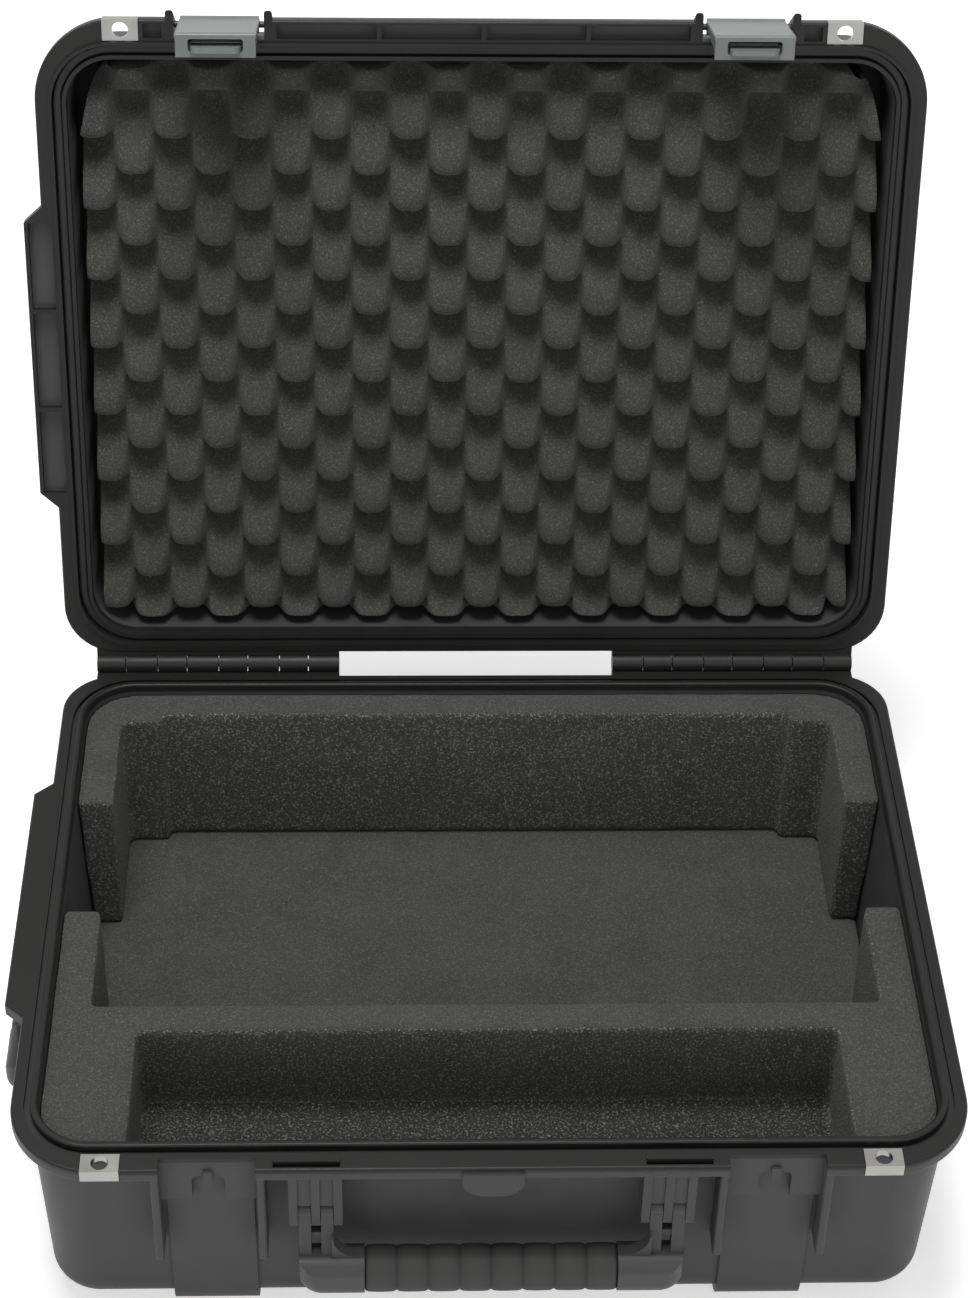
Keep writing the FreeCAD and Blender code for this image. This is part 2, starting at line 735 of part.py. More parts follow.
def lid_gasket():
    """The soft seal in the channel of the lid's rim."""
    z = (rim + cell.bead_height + cell.seal_clear, lid_rim + cell.seal_depth - cell.seat_gap)
    outer = tongue_inner - cell.seat_gap
    seal = ring("lid_gasket_ring", seal_inner + cell.seat_gap, outer, z, corner_at(outer))
    return swing_open(round_edges("lid_gasket", seal, cell.bead_edge, level_at(z[0])))


def pin(name, start, length, radius):
    """A steel pin along X with rounded ends."""
    return round_edges(name, rod(name + "_rod", ACROSS, start, length, radius), cell.pin_end,
                       lambda edge: not along_x(edge))


def hinge_pin(side, sign):
    """A steel pin through one hinge, held by the base's knuckles."""
    start = (hinge_start + hinge_length / 2) * sign - hinge_length / 2
    return pin("hinge_pin_" + side, (start, hinge_y, hinge_z), hinge_length, cell.hinge_pin_radius)


def lock_plate(name, x, plate_z, leg_z, collar_z):
    """A folded steel plate with an eyelet for a padlock."""
    y = (-flange_front, -(flange_front - cell.lock_depth))
    across = about(x, cell.lock_width)
    centre = (x, -(half_depth + cell.lock_reach), collar_z[0])
    height = collar_z[1] - collar_z[0]
    collar = rod(name + "_collar", UP, centre, height, cell.lock_hole_radius + cell.eyelet_wall)
    front = block(name + "_collar_room", across, (-flange_front, -half_depth), collar_z)
    inside = common(name + "_collar_trim", collar, front)
    solids = [
        block(name + "_top", across, y, plate_z),
        block(name + "_leg", across, (-flange_front, -(flange_front - cell.lock_skin)), leg_z),
        inside,
    ]
    hole = rod(name + "_hole", UP, (centre[0], centre[1], collar_z[0] - cell.overrun),
               height + cell.overrun * 2, cell.lock_hole_radius)
    return cut(name, fuse(name + "_solids", solids), [hole])


def base_lock_plate(side, sign):
    return lock_plate("base_lock_plate_" + side, cell.lock_place * sign, (rim - cell.lock_skin, rim),
                      (rim - cell.lock_drop, rim), (rim - cell.eyelet_height, rim))


def lid_lock_plate(side, sign):
    return swing_open(lock_plate("lid_lock_plate_" + side, cell.lock_place * sign,
                                 (lid_rim, lid_rim + cell.lock_skin), (lid_rim, lid_rim + cell.lock_drop),
                                 (lid_rim, lid_rim + cell.eyelet_height)))


latch_front = half_depth + cell.latch_pin_reach + cell.latch_barrel
latch_low_front = latch_front + cell.latch_lean
latch_floor_top = rim - cell.latch_drop
latch_floor_low = latch_floor_top - cell.latch_floor
trigger_y = -(latch_low_front - cell.trigger_pin_inset)
trigger_z = latch_floor_top + cell.trigger_rise
window_half = cell.latch_width / 2 - cell.latch_cheek


def latch(side, sign):
    """The latch: barrel on its pin, front face, cheeks and the hooked end with its window."""
    x = cell.latch_place * sign
    name = "latch_" + side
    across = about(x, cell.latch_width)
    seat = half_depth + cell.seat_reach
    hook = seat - cell.tab_reach - cell.overrun
    face = slope_block(name + "_face_block", across,
                       (-latch_low_front, cell.latch_skin - latch_low_front),
                       (cell.latch_edge - latch_front, cell.latch_edge + cell.latch_skin - latch_front),
                       (latch_floor_low, latch_pin_z))
    tip = plain(cell.running_gap - latch_low_front)
    face = round_edges(name + "_face_bend", face, cell.latch_bend, lambda edge: (
        edge.BoundBox.YMax < tip and along_x(edge)))
    leaning = plain(-(latch_front + cell.latch_lean / 2))
    face = round_edges(name + "_face", face, cell.latch_edge, lambda edge: (
        edge.BoundBox.YMin < leaning and upright(edge)))
    body_width = cell.latch_width - cell.latch_edge
    body = about(x, body_width)
    solids = [
        rod(name + "_barrel", ACROSS, (body[0], latch_pin_y, latch_pin_z), body_width, cell.latch_barrel),
        face,
        block(name + "_floor", body, (cell.latch_edge - latch_low_front, -hook),
              (latch_floor_low, latch_floor_top)),
    ]
    back = -(seat + cell.overrun)
    for end in (-1, 1):
        cheek_x = x + (body_width - cell.latch_skin) * end / 2
        solids.append(slope_block("%s_cheek_%d" % (name, end + 1), about(cheek_x, cell.latch_skin),
                                  (cell.latch_edge - latch_low_front, back),
                                  (cell.latch_skin - latch_front, cell.latch_skin * 2 - latch_front),
                                  (latch_floor_low + cell.latch_edge, latch_pin_z)))
    window_y = (cell.latch_skin + cell.trigger_gap - latch_low_front, -(hook + cell.latch_hook))
    window = block(name + "_window_block", about(x, window_half * 2), window_y,
                   (latch_floor_low - cell.overrun, latch_floor_top + cell.overrun))
    cuts = [
        round_edges(name + "_window", window, cell.latch_window_corner, upright),
        rod(name + "_bore", ACROSS, (across[0] - cell.overrun, latch_pin_y, latch_pin_z),
            cell.latch_width + cell.overrun * 2, cell.latch_pin_radius + cell.running_gap),
        rod(name + "_trigger_bore", ACROSS, (across[0] - cell.overrun, trigger_y, trigger_z),
            cell.latch_width + cell.overrun * 2, cell.trigger_pin_radius),
    ]
    return swing_open(cut(name, fuse(name + "_solids", solids), cuts))


def latch_pin(side, sign):
    length = cell.guard_spread + cell.guard_width
    x = cell.latch_place * sign - length / 2
    return swing_open(pin("latch_pin_" + side, (x, latch_pin_y, latch_pin_z), length,
                                cell.latch_pin_radius))


def trigger(side, sign):
    """The sprung release lever in the latch's window."""
    x = cell.latch_place * sign
    name = "trigger_" + side
    width = window_half * 2 - cell.latch_window_corner * 2
    across = about(x, width)
    back = trigger_y + cell.trigger_hub
    lever_y = (back - cell.trigger_skin, back)
    lip_low = latch_floor_low - cell.trigger_lip
    lever = block(name + "_lever", across, lever_y, (lip_low, trigger_z))
    lever = round_edges(name + "_lip", lever, cell.trigger_lip, lambda edge: (
        level_at(lip_low)(edge) and not along_x(edge)))
    solids = [rod(name + "_hub", ACROSS, (across[0], trigger_y, trigger_z), width, cell.trigger_hub), lever]
    bore = rod(name + "_bore", ACROSS, (across[0] - cell.overrun, trigger_y, trigger_z),
               width + cell.overrun * 2, cell.trigger_pin_radius + cell.running_gap)
    return swing_open(cut(name, fuse(name + "_solids", solids), [bore]))


def trigger_pin(side, sign):
    x = cell.latch_place * sign - cell.latch_width / 2
    return swing_open(pin("trigger_pin_" + side, (x, trigger_y, trigger_z), cell.latch_width,
                                cell.trigger_pin_radius))


def bar_section(name, length, height, depth, corner):
    """A rounded bar along X at the hanging place of a handle, in the handle's own frame."""
    bar = block(name + "_block", about(ZERO, length), about(-cell.handle_out, depth),
                about(-cell.handle_hang, height))
    return round_edges(name, bar, corner, along_x)


def gusset(name, spread, side):
    """The curved inner corner where an arm of a handle flows into its bar."""
    arm = (spread - (cell.bracket_pitch + cell.prong_width) / 2) * side
    inner = arm - cell.corner_radius * side
    bar_top = cell.bar_height / 2 + cell.grip_skin - cell.handle_hang
    z = (bar_top - cell.bar_edge, bar_top + cell.corner_radius)
    y = about(-cell.handle_out, cell.web_depth)
    reach = (inner, arm + cell.overrun) if side > 0 else (arm - cell.overrun, inner)
    hollow = rod(name + "_hollow", BACK, (inner, y[0] - cell.overrun, z[1]),
                 cell.web_depth + cell.overrun * 2, cell.corner_radius)
    return cut(name, block(name + "_block", reach, y, z), [hollow])


def handle_end(name, start, end, side):
    """A stiff end of a handle beside its grip and as thick as that, round at its outer low corner."""
    thing = block(name + "_block", (start, end) if side > 0 else (-end, -start),
                  about(-cell.handle_out, cell.bar_depth + cell.grip_skin * 2),
                  about(-cell.handle_hang, cell.bar_height + cell.grip_skin * 2))
    middle = plain(start + end) / 2
    thing = round_edges(name + "_low", thing, cell.bar_end_radius, lambda edge: (
        along_y(edge) and edge.CenterOfMass.z < -plain(cell.handle_hang)
        and abs(edge.CenterOfMass.x) > middle))
    near = plain(start + cell.running_gap)
    return round_edges(name, thing, cell.grip_corner, lambda edge: (
        not along_y(edge) and flat_in_y(edge) and abs(edge.CenterOfMass.x) > near))


def handle_frame(name, spread, grip):
    """The stiff handle: prongs on the pivots, ties and webs between them and the bar with its ends below."""
    end = grip / 2 + cell.seat_gap
    solids = [bar_section(name + "_bar", (end + cell.overrun) * 2, cell.bar_height, cell.bar_depth,
                          cell.bar_edge)]
    bores = []
    for side in SIDES.values():
        solids.append(handle_end("%s_end_%d" % (name, side + 1), end, spread + cell.bar_over, side))
        for step in (-1, 1):
            centre = spread * side + cell.bracket_pitch * step / 2
            tag = "%s_prong_%d_%d" % (name, side + 1, step + 1)
            x = about(centre, cell.prong_width)
            solids.append(rod(tag + "_hub", ACROSS, (x[0], ZERO, ZERO), cell.prong_width, cell.prong_radius))
            solids.append(slope_block(tag, x, about(-cell.handle_out, cell.prong_depth),
                                      about(ZERO, cell.prong_depth), (-cell.handle_hang, ZERO)))
        lean = cell.handle_out * cell.handle_tie_drop / cell.handle_hang
        between = about(spread * side, cell.bracket_pitch)
        solids.append(block("%s_tie_%d" % (name, side + 1), between, about(-lean, cell.prong_radius),
                            about(-cell.handle_tie_drop, cell.handle_tie)))
        solid_top = -(cell.handle_tie_drop + cell.handle_tie_step)
        lean = cell.handle_out * (cell.handle_tie_drop + cell.handle_tie_step) / cell.handle_hang
        solids.append(slope_block("%s_web_%d" % (name, side + 1), between,
                                  about(-cell.handle_out, cell.web_depth), about(-lean, cell.web_depth),
                                  (-cell.handle_hang, solid_top)))
        solids.append(gusset("%s_gusset_%d" % (name, side + 1), spread, side))
        bores.append(rod("%s_bore_%d" % (name, side + 1), ACROSS,
                         (spread * side - cell.bracket_pitch * 2, ZERO, ZERO), cell.bracket_pitch * 4,
                         cell.handle_pin_radius + cell.running_gap))
    return cut(name + "_frame", fuse(name + "_frame_solids", solids), bores)


def handle_grip(name, length):
    """The soft sleeve round the bar, in rounded segments."""
    height = cell.bar_height + cell.grip_skin * 2
    depth = cell.bar_depth + cell.grip_skin * 2
    shrink = cell.grip_groove_depth * 2
    solids = [bar_section(name + "_core", length, height - shrink, depth - shrink, cell.grip_corner)]
    count = round(plain(length) / plain(cell.grip_pitch))
    pitch = length / count
    for number in range(count):
        tag = "%s_segment_%d" % (name, number)
        x = about(pitch * number + (pitch - length) / 2, pitch - cell.grip_groove)
        ridge = block(tag + "_block", x, about(-cell.handle_out, depth), about(-cell.handle_hang, height))
        solids.append(round_edges(tag, ridge, cell.grip_corner, along_x))
    hole = bar_section(name + "_hole", length + cell.overrun * 2, cell.bar_height + cell.seat_gap * 2,
                       cell.bar_depth + cell.seat_gap * 2, cell.bar_edge)
    return cut(name + "_grip", fuse(name + "_grip_solids", solids), [hole])


def handle_pin(name, tag, sign, spread):
    length = cell.bracket_pitch * 2 + cell.bracket_rib
    return pin("%s_pin_%s" % (name, tag), (spread * sign - length / 2, ZERO, ZERO), length,
               cell.handle_pin_radius)


def pressure_valve():
    """The vent in the front wall: outer head with its shank, a seal under the head and a nut inside."""
    head_y = -(valve_outside + cell.valve_seal_height + cell.solid_gap)
    shank = cell.valve_nut_height - valve_inside - head_y
    body = fuse("valve_body", [
        rod("valve_head", BACK, (ZERO, head_y - cell.valve_head_height, valve_z),
            cell.valve_head_height, cell.valve_head),
        rod("valve_shank", BACK, (ZERO, head_y, valve_z), shank,
            cell.valve_radius - cell.seat_gap),
    ])
    seal = cut("valve_seal", rod("valve_seal_disc", BACK, (ZERO, head_y, valve_z),
                                 cell.valve_seal_height, cell.valve_head),
               [rod("valve_seal_hole", BACK, (ZERO, head_y - cell.overrun, valve_z),
                    cell.valve_seal_height + cell.overrun * 2, cell.valve_radius)])
    nut_block = add("Part::Prism", "valve_nut_block")
    nut_block.Polygon = 6
    bind(nut_block, Circumradius=cell.valve_nut, Height=cell.valve_nut_height)
    nut_block.Placement = FreeCAD.Placement(FreeCAD.Vector(), FreeCAD.Rotation(UP, BACK))
    move(nut_block, ZERO, -valve_inside, valve_z)
    nut = cut("valve_nut", nut_block,
              [rod("valve_nut_hole", BACK, (ZERO, -(valve_inside + cell.overrun), valve_z),
                   cell.valve_nut_height + cell.overrun * 2, cell.valve_radius)])
    return [body, seal, nut]


def base_foam():
    """The flat pad on the floor and the two blocks round the bay, the front one with a tray."""
    low = cell.foot_height + cell.wall + cell.solid_gap
    lining = tub("lining", half_width - cell.solid_gap, half_depth - cell.solid_gap,
                 rim + cell.bead_height + cell.overrun, low, cell.base_draft,
                 cell.inner_corner, cell.base_floor_radius - cell.wall)
    everywhere = (-flange_width, flange_width)
    pad_top = low + cell.floor_pad
    room = rod("valve_room", BACK, (ZERO, -wall_depth, valve_z),
               wall_depth - valve_inside + cell.valve_nut_height + cell.valve_room,
               cell.valve_nut + cell.valve_room)
    pad = common("pad_fill", lining, block("pad_room", everywhere, everywhere, (ZERO, pad_top)))
    above = (pad_top + cell.seat_gap, foam_top)
    front = common("foam_front_fill", lining,
                   block("foam_front_room", everywhere, (-flange_front, -cell.hand_front), above))
    rear = common("foam_rear_fill", lining,
                  block("foam_rear_room", everywhere, (cell.hand_back, flange_front), above))
    bay_y = (-cell.bay_front, cell.bay_back)
    bay = block("bay", about(ZERO, cell.bay_width), bay_y, (ZERO, rim))
    notch = block("bay_notch", about(ZERO, cell.bay_notch_width), (bay_y[0], bay_y[1] + cell.bay_notch),
                  (ZERO, rim))
    tray = block("tray", about(ZERO, cell.box_width), (-flange_front, -cell.box_back),
                 (tray_floor, rim))
    return [cut("base_foam_pad", pad, [room]), cut("base_foam_front", front, [bay, tray, room]),
            cut("base_foam_rear", rear, [bay, notch])]


def lid_foam():
    """The convoluted pad in the lid: a slab whose open side rises in staggered knobs."""
    width = plain(lid_inner_width - cell.crate_gap)
    depth = plain(lid_inner_depth - cell.crate_gap)
    top = plain(rim + cell.lid_height - cell.wall - cell.solid_gap)
    peak = plain(lid_rim + cell.crate_clear)
    valley = top - plain(cell.crate_slab)
    over = plain(cell.overrun)
    start = FreeCAD.Vector(-width, -depth, peak - over)
    slab_shape = Part.makeBox(width * 2, depth * 2, top - peak + over, start)
    slab_shape = slab_shape.makeFillet(plain(cell.crate_corner), [e for e in slab_shape.Edges if upright(e)])
    slab_shape = slab_shape.makeFillet(plain(cell.lid_crown_radius),
                                       [e for e in slab_shape.Edges if level_at(top)(e)])
    pitch_x = plain(cell.crate_pitch_across)
    pitch_y = plain(cell.crate_pitch_along)
    droop = plain(cell.crate_droop)
    steps = 8
    columns = math.ceil(width * 2 / pitch_x) + 1
    rows = math.ceil(depth * 2 / pitch_y) + 1

    def surface(x, y):
        wave = (math.cos(math.tau * (x + plain(cell.crate_place_across)) / pitch_x)
                * math.cos(math.tau * (y - plain(cell.crate_place_along)) / pitch_y))
        lift = (1 + math.sin(wave * math.pi / 2)) / 2
        return FreeCAD.Vector(x, y + droop * lift, valley + (peak - valley) * lift)

    def places(count, pitch):
        total = count * steps
        return [(n - total / 2) * pitch / steps for n in range(total + 1)]

    sheet_points = [[surface(x, y) for y in places(rows, pitch_y)] for x in places(columns, pitch_x)]
    wavy = Part.BSplineSurface()
    wavy.interpolate(sheet_points)
    below = wavy.toShape().extrude(FreeCAD.Vector(0, droop * (peak - top) / (peak - valley), peak - top))
    pad = add("Part::Feature", "lid_foam")
    pad.Shape = slab_shape.cut(below)
    return swing_open(pad)


nodes = [base_shell(), lid_shell(), lid_gasket(), lid_foam()] + base_foam() + pressure_valve()
for side, sign in SIDES.items():
    for make in (hinge_pin, base_lock_plate, lid_lock_plate, latch, latch_pin, trigger, trigger_pin):
        nodes.append(make(side, sign))
for name, (place, pivot_spread, grip, ends) in HANDLES.items():
    nodes.append(place(handle_frame(name, pivot_spread, grip)))
    nodes.append(place(handle_grip(name, grip)))
    for end, sign in zip(ends, SIDES.values()):
        nodes.append(place(handle_pin(name, end, sign, pivot_spread)))

doc.recompute()
failed = [thing.Name for thing in doc.Objects if {"Invalid", "Error"} & set(thing.State)]
failed += [node.Label for node in nodes if node.Shape.isNull() or not node.Shape.isValid()]
if failed:
    raise RuntimeError("failed: " + ", ".join(failed))
os.makedirs("parts", exist_ok=True)
for node in nodes:
    node.Shape.exportStep("parts/%s.step" % node.Label)
    print("%-26s %d solids %12.1f mm3" % (node.Label, len(node.Shape.Solids), node.Shape.Volume))
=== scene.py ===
# %% [markdown]
# # A moulded hard case with foam linings
#
# The real case is injection moulded: a deep base and a shallow lid with ribs, guards and a hinge in one
# shot each, and loose latches, handles, pins and steel plates. All of that comes from an exact model,
# which is loaded as a fixed frame. This lesson gives every piece its finish, and makes the soft foam and
# the rubber grips, which the exact model only blocks out. Lengths are in metres, X runs along the front,
# -Y is the front and Z is up.

# %% Load the exact model
import bpy
import bmesh
import json
import math
from mathutils import Matrix, Vector, noise


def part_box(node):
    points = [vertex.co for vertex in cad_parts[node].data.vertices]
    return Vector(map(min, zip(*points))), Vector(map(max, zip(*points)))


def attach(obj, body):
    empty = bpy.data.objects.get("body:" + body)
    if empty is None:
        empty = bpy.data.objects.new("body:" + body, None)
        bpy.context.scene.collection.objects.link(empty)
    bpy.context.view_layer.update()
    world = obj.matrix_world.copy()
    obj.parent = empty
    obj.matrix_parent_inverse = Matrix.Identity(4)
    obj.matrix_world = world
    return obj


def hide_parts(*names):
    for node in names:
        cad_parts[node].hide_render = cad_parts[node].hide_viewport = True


MM = 0.001
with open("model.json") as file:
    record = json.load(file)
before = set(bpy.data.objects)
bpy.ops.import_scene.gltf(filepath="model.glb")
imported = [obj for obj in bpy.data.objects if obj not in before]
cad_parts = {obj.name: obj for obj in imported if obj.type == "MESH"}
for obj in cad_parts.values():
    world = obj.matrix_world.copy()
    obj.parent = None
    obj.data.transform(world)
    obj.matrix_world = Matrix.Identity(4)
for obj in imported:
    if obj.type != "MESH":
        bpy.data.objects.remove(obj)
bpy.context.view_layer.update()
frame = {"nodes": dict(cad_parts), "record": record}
scene = bpy.context.scene
print("exact pieces:", len(frame["nodes"]))

# %% [markdown]
# ## Camera
#
# The case is seen from above and in front with a long lens, so that the lid's inside and the base's
# inside both face us. A camera can be aimed by eye, with a target, or by numbers. Here its place and its
# three turns were solved from the straight edges of the case, so they go in as numbers: the view
# direction, the level and the roll make a matrix, and the matrix holds all turns at once.

# %% Camera
EYE = Vector((-0.05594, -1.28588, 1.41177))
PITCH, YAW, ROLL = (math.radians(angle) for angle in (39.60, 2.38, 1.42))
SENSOR_MM = 36.0
FOCAL_PX, PICTURE_PX = 2890, 1298

ahead = Vector((math.sin(YAW) * math.cos(PITCH), math.cos(YAW) * math.cos(PITCH), -math.sin(PITCH)))
level = Vector((math.cos(YAW), -math.sin(YAW), 0.0))
upward = level.cross(ahead)
right = level * math.cos(ROLL) + upward * math.sin(ROLL)
top = upward * math.cos(ROLL) - level * math.sin(ROLL)
lens = bpy.data.cameras.new("camera")
lens.sensor_fit = "VERTICAL"
lens.sensor_height = SENSOR_MM
lens.lens = SENSOR_MM * FOCAL_PX / PICTURE_PX
camera = bpy.data.objects.new("camera", lens)
scene.collection.objects.link(camera)
camera.matrix_world = Matrix.Translation(EYE) @ Matrix((right, top, -ahead)).transposed().to_4x4()
scene.camera = camera
print("lens %.1f mm" % lens.lens)

# %% [markdown]
# ## Studio light
#
# A case like this is lit by a large soft box above it, which grazes the inside of the standing lid and
# draws every knob of the foam, a weak one near the camera, and two low ones in front for the ribs and the
# handle. Area lights as disks do the same: the larger the disk, the softer the shadow. Together they are
# kept weak enough that a colour renders about as it is written.

# %% Lamps
scene.view_settings.view_transform = "Standard"


def soft_box(name, place, target, size, power):
    """A disk of light at a place, turned to its target."""
    data = bpy.data.lights.new(name, "AREA")
    data.shape = "DISK"
    data.size = size
    data.energy = power
    lamp = bpy.data.objects.new(name, data)
    lamp.location = place
    lamp.rotation_euler = (Vector(target) - Vector(place)).to_track_quat("-Z", "Y").to_euler()
    scene.collection.objects.link(lamp)
    return lamp


lamps = [
    soft_box("soft_box_above", place=(-0.2, -0.05, 2.25), target=(0.0, 0.05, 0.2), size=1.0, power=42.0),
    soft_box("soft_box_front", place=(0.3, -1.9, 1.6), target=(0.0, 0.0, 0.2), size=1.4, power=6.5),
    soft_box("soft_box_left", place=(-1.2, -1.5, 0.40), target=(0.0, -0.1, 0.10), size=0.8, power=4.8),
    soft_box("soft_box_right", place=(1.2, -1.5, 0.40), target=(0.0, -0.1, 0.10), size=0.8, power=4.8),
]
print("lamps:", [lamp.name for lamp in lamps])

# %% [markdown]
# ## Background and floor
#
# The case stands on a plain white ground. A brighter lamp would make the floor white but would wash out
# the case as well. Light Path tells the kind of ray that asks: the world and the floor answer with white
# to the camera and in reflections, and with an even, weaker light to everything else. The floor keeps
# its own shading underneath, so the case still stands on a soft shadow. Far from the case it goes over
# into plain white, so that no view shows where it ends.

# %% Helpers for nodes


def maths(tree, operation, first, second):
    """One step of arithmetic, each side of it a plain number or a socket."""
    node = tree.nodes.new("ShaderNodeMath")
    node.operation = operation
    for socket, value in zip(node.inputs, (first, second)):
        if isinstance(value, float):
            socket.default_value = value
        else:
            tree.links.new(value, socket)
    return node.outputs[0]


def ramp(tree, value, low, high, start=0.0, end=1.0):
    """Stretch the part of a value between low and high to start and end."""
    node = tree.nodes.new("ShaderNodeMapRange")
    tree.links.new(value, node.inputs["Value"])
    for label, number in zip(("From Min", "From Max", "To Min", "To Max"), (low, high, start, end)):
        node.inputs[label].default_value = number
    return node.outputs["Result"]


def seen_rays(tree):
    """One where the ray comes from the camera, a reflection or through glass."""
    rays = tree.nodes.new("ShaderNodeLightPath")
    seen = rays.outputs["Is Camera Ray"]
    for label in ("Is Glossy Ray", "Is Transmission Ray"):
        seen = maths(tree, "MAXIMUM", seen, rays.outputs[label])
    return seen


# %% Background
WHITE = (1.0, 1.0, 1.0, 1.0)
FILL_STRENGTH = 0.24

world = bpy.data.worlds.new("studio")
scene.world = world
world.use_nodes = True
tree = world.node_tree
tree.nodes.clear()
fill = tree.nodes.new("ShaderNodeBackground")
fill.inputs["Strength"].default_value = FILL_STRENGTH
white = tree.nodes.new("ShaderNodeBackground")
for background in (fill, white):
    background.inputs["Color"].default_value = WHITE
choose = tree.nodes.new("ShaderNodeMixShader")
tree.links.new(seen_rays(tree), choose.inputs[0])
tree.links.new(fill.outputs[0], choose.inputs[1])
tree.links.new(white.outputs[0], choose.inputs[2])
tree.links.new(choose.outputs[0], tree.nodes.new("ShaderNodeOutputWorld").inputs[0])
print("world:", world.name)

# %% Floor
FLOOR_HALF, FLOOR_DROP = 6.0, 0.6 * MM
PAPER, PAPER_ROUGH = (0.92, 0.92, 0.92, 1.0), 0.9
GLOW_PLACES, GLOW_STRENGTHS = (0.7, 2.4), (0.50, 1.0)

bm = bmesh.new()
bmesh.ops.create_grid(bm, x_segments=1, y_segments=1, size=FLOOR_HALF,
                      matrix=Matrix.Translation((0.0, 0.0, -FLOOR_DROP)))
floor_mesh = bpy.data.meshes.new("floor")
bm.to_mesh(floor_mesh)
bm.free()
floor = bpy.data.objects.new("floor", floor_mesh)
scene.collection.objects.link(floor)
paper = bpy.data.materials.new("floor_paper")
paper.use_nodes = True
tree = paper.node_tree
sheet = tree.nodes["Principled BSDF"]
sheet.inputs["Base Color"].default_value = PAPER
sheet.inputs["Roughness"].default_value = PAPER_ROUGH
distance = tree.nodes.new("ShaderNodeVectorMath")
distance.operation = "LENGTH"
tree.links.new(tree.nodes.new("ShaderNodeTexCoord").outputs["Object"], distance.inputs[0])
away = ramp(tree, distance.outputs["Value"], *GLOW_PLACES, *GLOW_STRENGTHS)
glow = tree.nodes.new("ShaderNodeEmission")
tree.links.new(maths(tree, "MULTIPLY", seen_rays(tree), away), glow.inputs["Strength"])
both = tree.nodes.new("ShaderNodeAddShader")
tree.links.new(sheet.outputs[0], both.inputs[0])
tree.links.new(glow.outputs[0], both.inputs[1])
tree.links.new(both.outputs[0], tree.nodes["Material Output"].inputs["Surface"])
floor_mesh.materials.append(paper)
print("floor:", FLOOR_HALF * 2, "m wide")

# %% [markdown]
# ## Effects that several finishes share
#
# Moulded plastic takes its look from the mould, which is etched to a fine, even grain that breaks up the
# gloss. Foam takes its look from cut cells. Painted pictures could show both, but a node group has no
# seams and no fixed size: it is built once, and each finish places it with its own scale. The two small
# helpers below make the group with its sockets, and a texture in it.

# %% Helpers for node groups


def new_group(name, inputs, outputs):
    """A node group with named number inputs, which have a default, and named number outputs."""
    group = bpy.data.node_groups.new(name, "ShaderNodeTree")
    for label, value in inputs.items():
        socket = group.interface.new_socket(label, in_out="INPUT", socket_type="NodeSocketFloat")
        socket.default_value = value
    for label in outputs:
        group.interface.new_socket(label, in_out="OUTPUT", socket_type="NodeSocketFloat")
    return group, group.nodes.new("NodeGroupInput"), group.nodes.new("NodeGroupOutput")


def texture(tree, kind, coords, scale, **values):
    """A texture node whose scale is a plain number or a socket."""
    node = tree.nodes.new(kind)
    tree.links.new(coords, node.inputs["Vector"])
    if isinstance(scale, float):
        node.inputs["Scale"].default_value = scale
    else:
        tree.links.new(scale, node.inputs["Scale"])
    for label, value in values.items():
        node.inputs[label].default_value = value
    return node


# %% [markdown]
# ### Moulded grain
#
# The etched grain is a mix of tiny cells and cloudy noise, about half a millimetre across. A second,
# broad noise stands for mould flow and handling: it shifts colour and gloss by a few percent over some
# centimetres, which keeps large faces from looking painted.

# %% Moulded grain
CELL_SHARE = 0.6
FLOW_MARKS_PER_METRE = 34.0
MOTTLE_BAND = (0.3, 0.7)

grain, grain_in, grain_out = new_group("moulded_grain", {"Grains per metre": 1400.0}, ["Height", "Mottle"])
place = grain.nodes.new("ShaderNodeTexCoord").outputs["Object"]
size = grain_in.outputs["Grains per metre"]
fine = texture(grain, "ShaderNodeTexNoise", place, size, Detail=2.0, Roughness=0.6)
cells = texture(grain, "ShaderNodeTexVoronoi", place, size)
bumps = maths(grain, "MULTIPLY", cells.outputs["Distance"], CELL_SHARE)
grain.links.new(maths(grain, "ADD", fine.outputs["Fac"], bumps), grain_out.inputs["Height"])
broad = texture(grain, "ShaderNodeTexNoise", place, FLOW_MARKS_PER_METRE, Detail=3.0, Roughness=0.55)
grain.links.new(ramp(grain, broad.outputs["Fac"], *MOTTLE_BAND), grain_out.inputs["Mottle"])
print("group:", grain.name)

# %% [markdown]
# ### Foam cells
#
# Open-cell foam is a web of thin walls. Cut cells are dark pits, and a wall that lies flat glints. So the
# group puts out a height for the bump, a mask of pits, a mask of sparse bright specks and a broad mottle.

# %% Foam cells
PIT_BAND, SPECK_BAND = (0.55, 1.25), (0.53, 0.71)
FOAM_CLOUDS_PER_METRE = 26.0

pores, pores_in, pores_out = new_group("foam_cells", {"Cells per metre": 900.0, "Specks per metre": 600.0},
                                       ["Height", "Pores", "Specks", "Mottle"])
place = pores.nodes.new("ShaderNodeTexCoord").outputs["Object"]
size = pores_in.outputs["Cells per metre"]
small = texture(pores, "ShaderNodeTexVoronoi", place, size)
cloud = texture(pores, "ShaderNodeTexNoise", place, size, Detail=3.0, Roughness=0.7)
depth = maths(pores, "ADD", small.outputs["Distance"], cloud.outputs["Fac"])
pores.links.new(depth, pores_out.inputs["Height"])
pores.links.new(ramp(pores, depth, *PIT_BAND), pores_out.inputs["Pores"])
size = pores_in.outputs["Specks per metre"]
dots = texture(pores, "ShaderNodeTexNoise", place, size, Detail=2.0, Roughness=0.6)
pores.links.new(ramp(pores, dots.outputs["Fac"], *SPECK_BAND), pores_out.inputs["Specks"])
broad = texture(pores, "ShaderNodeTexNoise", place, FOAM_CLOUDS_PER_METRE, Detail=4.0, Roughness=0.65)
